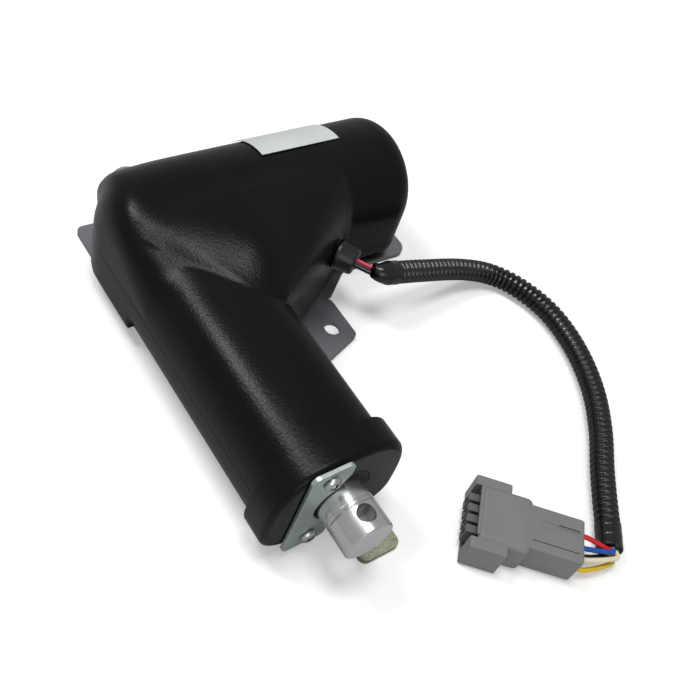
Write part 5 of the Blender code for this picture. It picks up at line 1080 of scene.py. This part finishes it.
def exit_wires(route):
    """The three leads between the boot and the start of the loom."""
    place, normal = boot_place()
    start, foot = route[0], TO_ROW @ place
    heading = (route[1] - route[0]).normalized()
    side = heading.cross(Vector(UPWARDS)).normalized()
    made = []
    for index, (name, node, slot, colour) in enumerate(EXIT_LEADS):
        turn = 2 * math.pi * index / len(EXIT_LEADS) + math.pi / 2
        spread = (side * math.cos(turn) + Vector(UPWARDS) * math.sin(turn)) * EXIT_LEAD_SPREAD
        points = [foot + normal * 0.004 + spread, foot + normal * 0.009 + spread,
                  start - heading * 0.0009 + spread]
        made.append(insulated(name, node, slot, colour, points, 0.00095))
    return made


def plug_wires(route):
    """The five leads between the end of the loom and the plug's seal."""
    end = route[-1]
    heading = (route[-1] - route[-2]).normalized()
    toward = heading.cross(Vector(UPWARDS)).normalized()
    along = Vector((math.cos(PLUG_ANGLE), math.sin(PLUG_ANGLE), 0.0))
    seal_rear = PLUG_FRONT + PLUG_MIDDLE + PLUG_REAR - 0.6
    made = []
    for name, node, slot, colour, aside, up, bulge, across, height in PLUG_LEADS:
        leaving = end + heading * 0.0003 + toward * aside * 0.001 + Vector((0, 0, up * 0.001))
        into = TO_ROW @ (PLUG_TO_AXIS @ Vector((seal_rear + GAP, across, height - 0.1)))
        points = [leaving, leaving + heading * bulge * 0.001, into + along * (3 + bulge / 2) * 0.001, into]
        made.append(insulated(name, node, slot, colour, points, 0.001))
    return made


class ACTUATOR_OT_cable(bpy.types.Operator):
    """Lay the boot, the corrugated loom, its taped ends and the coloured wires"""
    bl_idname = "actuator.cable"
    bl_label = "Cable"

    def execute(self, context):
        route = smooth_path(CABLE_ROUTE, 0.001)
        fine = smooth_path(CABLE_ROUTE, 0.0002)
        total = path_length(fine) * 1000
        start_tape = total * START_TAPE_STEPS / (len(route) - 1)
        end_tape = total * (1 - END_TAPE_STEPS / (len(route) - 1))
        loom = loom_piece(context.scene.actuator_cable, fine, start_tape, end_tape)
        pieces = [tape_piece("start_tape", "loom_tape_start", fine, 0.0, start_tape),
                  tape_piece("end_tape", "loom_tape_end", fine, end_tape, total)]
        boot_piece()
        pieces += exit_wires(route) + plug_wires(route)
        pieces += [bpy.data.objects[name] for name in ("plug_body", "plug_insert", "plug_wire_seal")]
        tuple(fine[0])
        path_length(fine)
        [tuple(point) for point in fine]
        return {"FINISHED"}


class ACTUATOR_OT_plug(bpy.types.Operator):
    """Make the sealed plug that lies on the table"""
    bl_idname = "actuator.plug"
    bl_label = "Plug"

    def execute(self, context):
        look = context.scene.actuator_plug
        to_row = TO_ROW @ PLUG_TO_AXIS
        middle_end = PLUG_FRONT + PLUG_MIDDLE
        rear_end = middle_end + PLUG_REAR
        half_front, half_middle, half_rear = PLUG_FRONT_WIDTH / 2, PLUG_MIDDLE_WIDTH / 2, PLUG_REAR_WIDTH / 2
        top, wall, tall = PLUG_HEIGHT - 0.15, PLUG_WALL, PLUG_HEIGHT
        body = softened(boxed((1.5, -half_middle, 0), (middle_end, half_middle, tall)), 2.4, 5)
        rear = softened(boxed((middle_end - 5, -half_rear, 0.15), (rear_end, half_rear, top)), 1.3, 3)
        tabs = softened(boxed((-0.5, -half_front - 0.6, 0.15), (PLUG_FRONT, half_front + 0.6, 14.0)), 0.7, 2)
        rim_low, rim_high = (1.5, -half_middle + 1.6, tall - 1), (2.7, half_middle - 1.6, tall + 0.3)
        merged(body, rear, tabs, softened(boxed(rim_low, rim_high), 0.25, 2))
        body.name = "plug_body"
        low, high = -half_middle + wall, half_middle - wall
        cut(body, boxed((-3, low, wall), (12, high, tall - wall)),
            boxed((-3, low - 0.9, wall - 0.9), (2.3, high + 0.9, tall - wall + 0.9)),
            boxed((rear_end - 3, -half_rear + wall, wall), (rear_end + 2, half_rear - wall, tall - wall)))
        for start, end, left, right, depth in PLUG_TOP_MARKS:
            cut(body, boxed((start, left, top - depth), (end, right, 20)))
        softened(body, 0.12, 1, 50)
        grey = plain_plastic("plug_grey", look.colour, 0.46, 1800.0, 0.00003)
        dressed(body, grey, ("plug_shell",), to_row=to_row, flats=True)
        gap = GAP + wall
        inset = gap + PLUG_MOAT
        core = boxed((-1.8, -half_middle + inset, inset), (11.7, half_middle - inset, tall - inset))
        merged(core, boxed((10, -half_middle + gap, gap), (11.7, half_middle - gap, tall - gap)))
        core.name = "plug_insert"
        for across in (-4.6, 0.0, 4.6):
            cut(core, boxed((-4, across - 0.65, 0), (6, across + 0.65, 20)))
        for across in (-6.9, -2.3, 2.3, 6.9):
            cut(core, boxed((-4, across - 1.0, 5.2), (4, across + 1.0, 9.6)))
        softened(core, 0.25, 2, 50)
        dark = plain_plastic("plug_core_grey", scaled(look.colour, 0.62), 0.5, 1800.0)
        dressed(core, dark, ("plug_core",), to_row=to_row, flats=True)
        seal_low = (rear_end - 2.7, -half_rear + gap, gap)
        seal = softened(boxed(seal_low, (rear_end - 0.6, half_rear - gap, tall - gap)), 0.3, 2)
        seal.name = "plug_wire_seal"
        silicone = plain_plastic("seal_silicone", look.seal_colour, 0.5, 900.0)
        dressed(seal, silicone, ("plug_rear_seal",), to_row=to_row)
        return {"FINISHED"}


# Node, kind of finish, material's name, colour, roughness and, where it differs, the density of the grain
INNER_FINISHES = (
    ("front_bearing", plain_metal, "bearing_steel", (0.62, 0.62, 0.62), 0.22),
    ("motor_can", plain_metal, "motor_can_steel", (0.55, 0.56, 0.55), 0.32, 500.0),
    ("motor_pinion", plain_metal, "pinion_steel", (0.58, 0.57, 0.55), 0.3),
    ("rear_bush", plain_metal, "bush_bronze", (0.55, 0.38, 0.17), 0.35),
    ("thrust_washer", plain_metal, "thrust_bronze", (0.50, 0.34, 0.16), 0.35),
    ("motor_armature", plain_metal, "armature_copper", (0.55, 0.27, 0.13), 0.4, 300.0),
    ("motor_magnet_1", plain_plastic, "magnet_ferrite_1", (0.05, 0.05, 0.052), 0.6, 600.0),
    ("motor_magnet_2", plain_plastic, "magnet_ferrite_2", (0.05, 0.05, 0.052), 0.6, 600.0),
    ("motor_end_bell", plain_plastic, "end_bell_plastic", (0.05, 0.05, 0.05), 0.5),
    ("brush_ring", plain_plastic, "brush_ring_plastic", (0.20, 0.11, 0.05), 0.6),
    ("bearing_plate", plain_plastic, "bearing_plate_plastic", (0.04, 0.04, 0.04), 0.5),
    ("guide_support", plain_plastic, "guide_support_plastic", (0.04, 0.04, 0.04), 0.5),
    ("rod_guide", plain_plastic, "rod_guide_plastic", (0.03, 0.03, 0.03), 0.45),
    ("rod_wiper", plain_plastic, "wiper_rubber", (0.010, 0.010, 0.010), 0.6, 1200.0),
    ("drive_nut", plain_plastic, "drive_nut_acetal", (0.70, 0.68, 0.60), 0.4),
    ("sensor_shoe", plain_plastic, "shoe_acetal", (0.72, 0.70, 0.64), 0.4),
    ("face_gear", plain_plastic, "face_gear_acetal", (0.74, 0.72, 0.66), 0.4),
    ("motor_mount_front", plain_plastic, "front_saddle_rubber", (0.02, 0.02, 0.02), 0.7),
    ("motor_mount_rear", plain_plastic, "rear_saddle_rubber", (0.02, 0.02, 0.02), 0.7),
    ("position_sensor", plain_plastic, "sensor_board", (0.02, 0.09, 0.05), 0.45),
)


class ACTUATOR_OT_mechanism(bpy.types.Operator):
    """Thread the lead screw and finish the inner parts that stay as they are"""
    bl_idname = "actuator.mechanism"
    bl_label = "Mechanism"

    def execute(self, context):
        numbers = range(1, len(SCREW_PLACES) + 1)
        screws = tuple((f"housing_screw_{number}", plain_metal, f"housing_screw_steel_{number}",
                        (0.58, 0.60, 0.57), 0.3) for number in numbers)
        for node_name, finish, *look in INNER_FINISHES + screws:
            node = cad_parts[node_name]
            node.data.materials.clear()
            node.data.materials.append(finish(*look))
        journal_rear, journal_front = STUD_BORE_X + 2 * GAP, STUD_FRONT_X + GAP
        crest, root, place = SCREW_RADIUS, SCREW_ROOT_RADIUS, SCREW_THREAD_START_X
        profile = [(journal_rear, 0), (journal_rear, SCREW_JOURNAL_RADIUS),
                   (journal_front, SCREW_JOURNAL_RADIUS), (journal_front, crest), (place, crest)]
        while place < SCREW_THREAD_END_X:
            profile += [(place + 0.3, crest), (place + 0.7, root), (place + 1.2, root), (place + 1.6, crest)]
            place += SCREW_PITCH
        profile += [(SCREW_END_X - 0.8, crest), (SCREW_END_X, crest - 0.8), (SCREW_END_X, 0)]
        screw = shape("threaded_screw", spun(profile, (0, 0, 0), ALONG_X, 48))
        steel = turned_metal("lead_screw_steel", (0.60, 0.60, 0.59), 2000.0)
        dressed(screw, steel, ("lead_screw",), body="screw")
        return {"FINISHED"}


# Camera fitted to the photograph: its place in metres and its right, up and backward directions
CAMERA_PLACE = (0.229556, -0.147053, 0.293352)
CAMERA_AXES = ((0.543666, 0.798979, 0.257021), (-0.729073, 0.297869, 0.616220),
               (0.415788, -0.522404, 0.744455))
CAMERA_LENS, CAMERA_SHIFT = 47.94, (0.0006, -0.0024)
# Name, place in metres, share of the main lamp's power and size of each soft lamp, and what all of them face
LAMPS = (("key", (-0.36, -0.26, 0.85), 1.0, 0.24), ("window", (0.04, -0.02, 1.0), 1.3, 0.30),
         ("fill", (0.85, -0.25, 0.45), 0.5, 0.5))
LAMPS_FACE = (0.06, 0.05, 0.0)
# Strength of the white surroundings in mirror reflections, as a share, and in the light that they give
WORLD_GLOSSY_SHARE, WORLD_LIGHT = 0.12, 0.32


class ACTUATOR_OT_stage(bpy.types.Operator):
    """Set the camera at the photograph's angle, the pale floor and the soft lights"""
    bl_idname = "actuator.stage"
    bl_label = "Stage"

    def execute(self, context):
        look = context.scene.actuator_stage
        scene = context.scene
        lens = bpy.data.cameras.new("camera")
        lens.sensor_width = 36.0
        lens.lens = CAMERA_LENS
        lens.shift_x, lens.shift_y = CAMERA_SHIFT
        lens.clip_start, lens.clip_end = 0.01, 20.0
        camera = bpy.data.objects.new("camera", lens)
        camera.matrix_world = Matrix.Translation(CAMERA_PLACE) @ Matrix(CAMERA_AXES).transposed().to_4x4()
        scene.collection.objects.link(camera)
        scene.camera = camera

        work = bmesh.new()
        bmesh.ops.create_grid(work, x_segments=1, y_segments=1, size=4.0)
        floor = shape("floor", work)
        floor.location.z = -0.0002
        paint = Paint("floor_paper", look.floor_colour, 0.9)
        rays = paint.node("ShaderNodeLightPath", output="Is Glossy Ray")
        paint.finish(colour=paint.mixed(rays, look.floor_colour, scaled(look.floor_colour, look.floor_echo)),
                     height=paint.noise(600.0, 2.0), depth=0.00002, strength=0.2)
        reach = paint.node("ShaderNodeVectorMath", {"operation": "LENGTH"}, {0: paint.place}, "Value")
        glow = paint.mixed(paint.ramp(reach * 0.5, 0.12, 0.5), (look.floor_glow,) * 3, (0.8, 0.8, 0.8))
        paint.tree.links.new(glow.socket, paint.shader.inputs["Emission Color"])
        seen = paint.node("ShaderNodeLightPath", output="Is Camera Ray")
        paint.tree.links.new(seen.socket, paint.shader.inputs["Emission Strength"])
        floor.data.materials.append(paint.material)

        for name, place, share, size in LAMPS:
            lamp = bpy.data.lights.new(name, "AREA")
            lamp.energy = look.key_power * share
            lamp.size = size
            item = bpy.data.objects.new(name, lamp)
            item.location = place
            item.rotation_euler = (Vector(LAMPS_FACE) - Vector(place)).to_track_quat("-Z", "Y").to_euler()
            scene.collection.objects.link(item)

        world = bpy.data.worlds.new("studio")
        scene.world = world
        world.use_nodes = True
        tree = world.node_tree
        background = tree.nodes["Background"]
        rays = tree.nodes.new("ShaderNodeLightPath")
        seen = tree.nodes.new("ShaderNodeMath")
        seen.operation = "MAXIMUM"
        shine = tree.nodes.new("ShaderNodeMath")
        shine.operation = "MULTIPLY_ADD"
        shine.inputs[1].default_value = WORLD_GLOSSY_SHARE
        tree.links.new(rays.outputs["Is Glossy Ray"], shine.inputs[0])
        tree.links.new(rays.outputs["Is Transmission Ray"], shine.inputs[2])
        tree.links.new(rays.outputs["Is Camera Ray"], seen.inputs[0])
        tree.links.new(shine.outputs[0], seen.inputs[1])
        level = tree.nodes.new("ShaderNodeMapRange")
        level.inputs["To Min"].default_value = WORLD_LIGHT
        level.inputs["To Max"].default_value = 1.0
        tree.links.new(seen.outputs[0], level.inputs["Value"])
        tree.links.new(level.outputs["Result"], background.inputs["Strength"])
        background.inputs["Color"].default_value = (1.0, 1.0, 1.0, 1.0)
        scene.view_settings.view_transform = "Standard"
        return {"FINISHED"}


class ACTUATOR_PT_panel(bpy.types.Panel):
    """Sizes, finishes and build steps of the actuator"""
    bl_label = "Throttle Actuator"
    bl_idname = "ACTUATOR_PT_panel"
    bl_space_type = "VIEW_3D"
    bl_region_type = "UI"
    bl_category = "Actuator"

    def draw(self, context):
        for group, look_class in LOOKS.items():
            look = getattr(context.scene, group)
            column = self.layout.box().column()
            for key in look_class.__annotations__:
                column.prop(look, key)
        for step in STEPS:
            self.layout.operator(step.bl_idname)


LOOKS = {"actuator_housing": HousingLook, "actuator_metal": MetalLook, "actuator_cable": CableLook,
         "actuator_plug": PlugLook, "actuator_stage": StageLook}
STEPS = (ACTUATOR_OT_stage, ACTUATOR_OT_plug, ACTUATOR_OT_cable, ACTUATOR_OT_housing, ACTUATOR_OT_end_cap,
         ACTUATOR_OT_retainer, ACTUATOR_OT_rod, ACTUATOR_OT_mounting_plate, ACTUATOR_OT_rear_fixing,
         ACTUATOR_OT_label, ACTUATOR_OT_mechanism)


def register():
    for look_class in LOOKS.values():
        bpy.utils.register_class(look_class)
    for group, look_class in LOOKS.items():
        setattr(bpy.types.Scene, group, PointerProperty(type=look_class))
    for step in STEPS:
        bpy.utils.register_class(step)
    bpy.utils.register_class(ACTUATOR_PT_panel)


def unregister():
    bpy.utils.unregister_class(ACTUATOR_PT_panel)
    for step in reversed(STEPS):
        bpy.utils.unregister_class(step)
    for group in LOOKS:
        delattr(bpy.types.Scene, group)
    for look_class in LOOKS.values():
        bpy.utils.unregister_class(look_class)


def main():
    register()
    for step in STEPS:
        family, name = step.bl_idname.split(".")
        getattr(getattr(bpy.ops, family), name)()


if __name__ == "__main__":
    main()
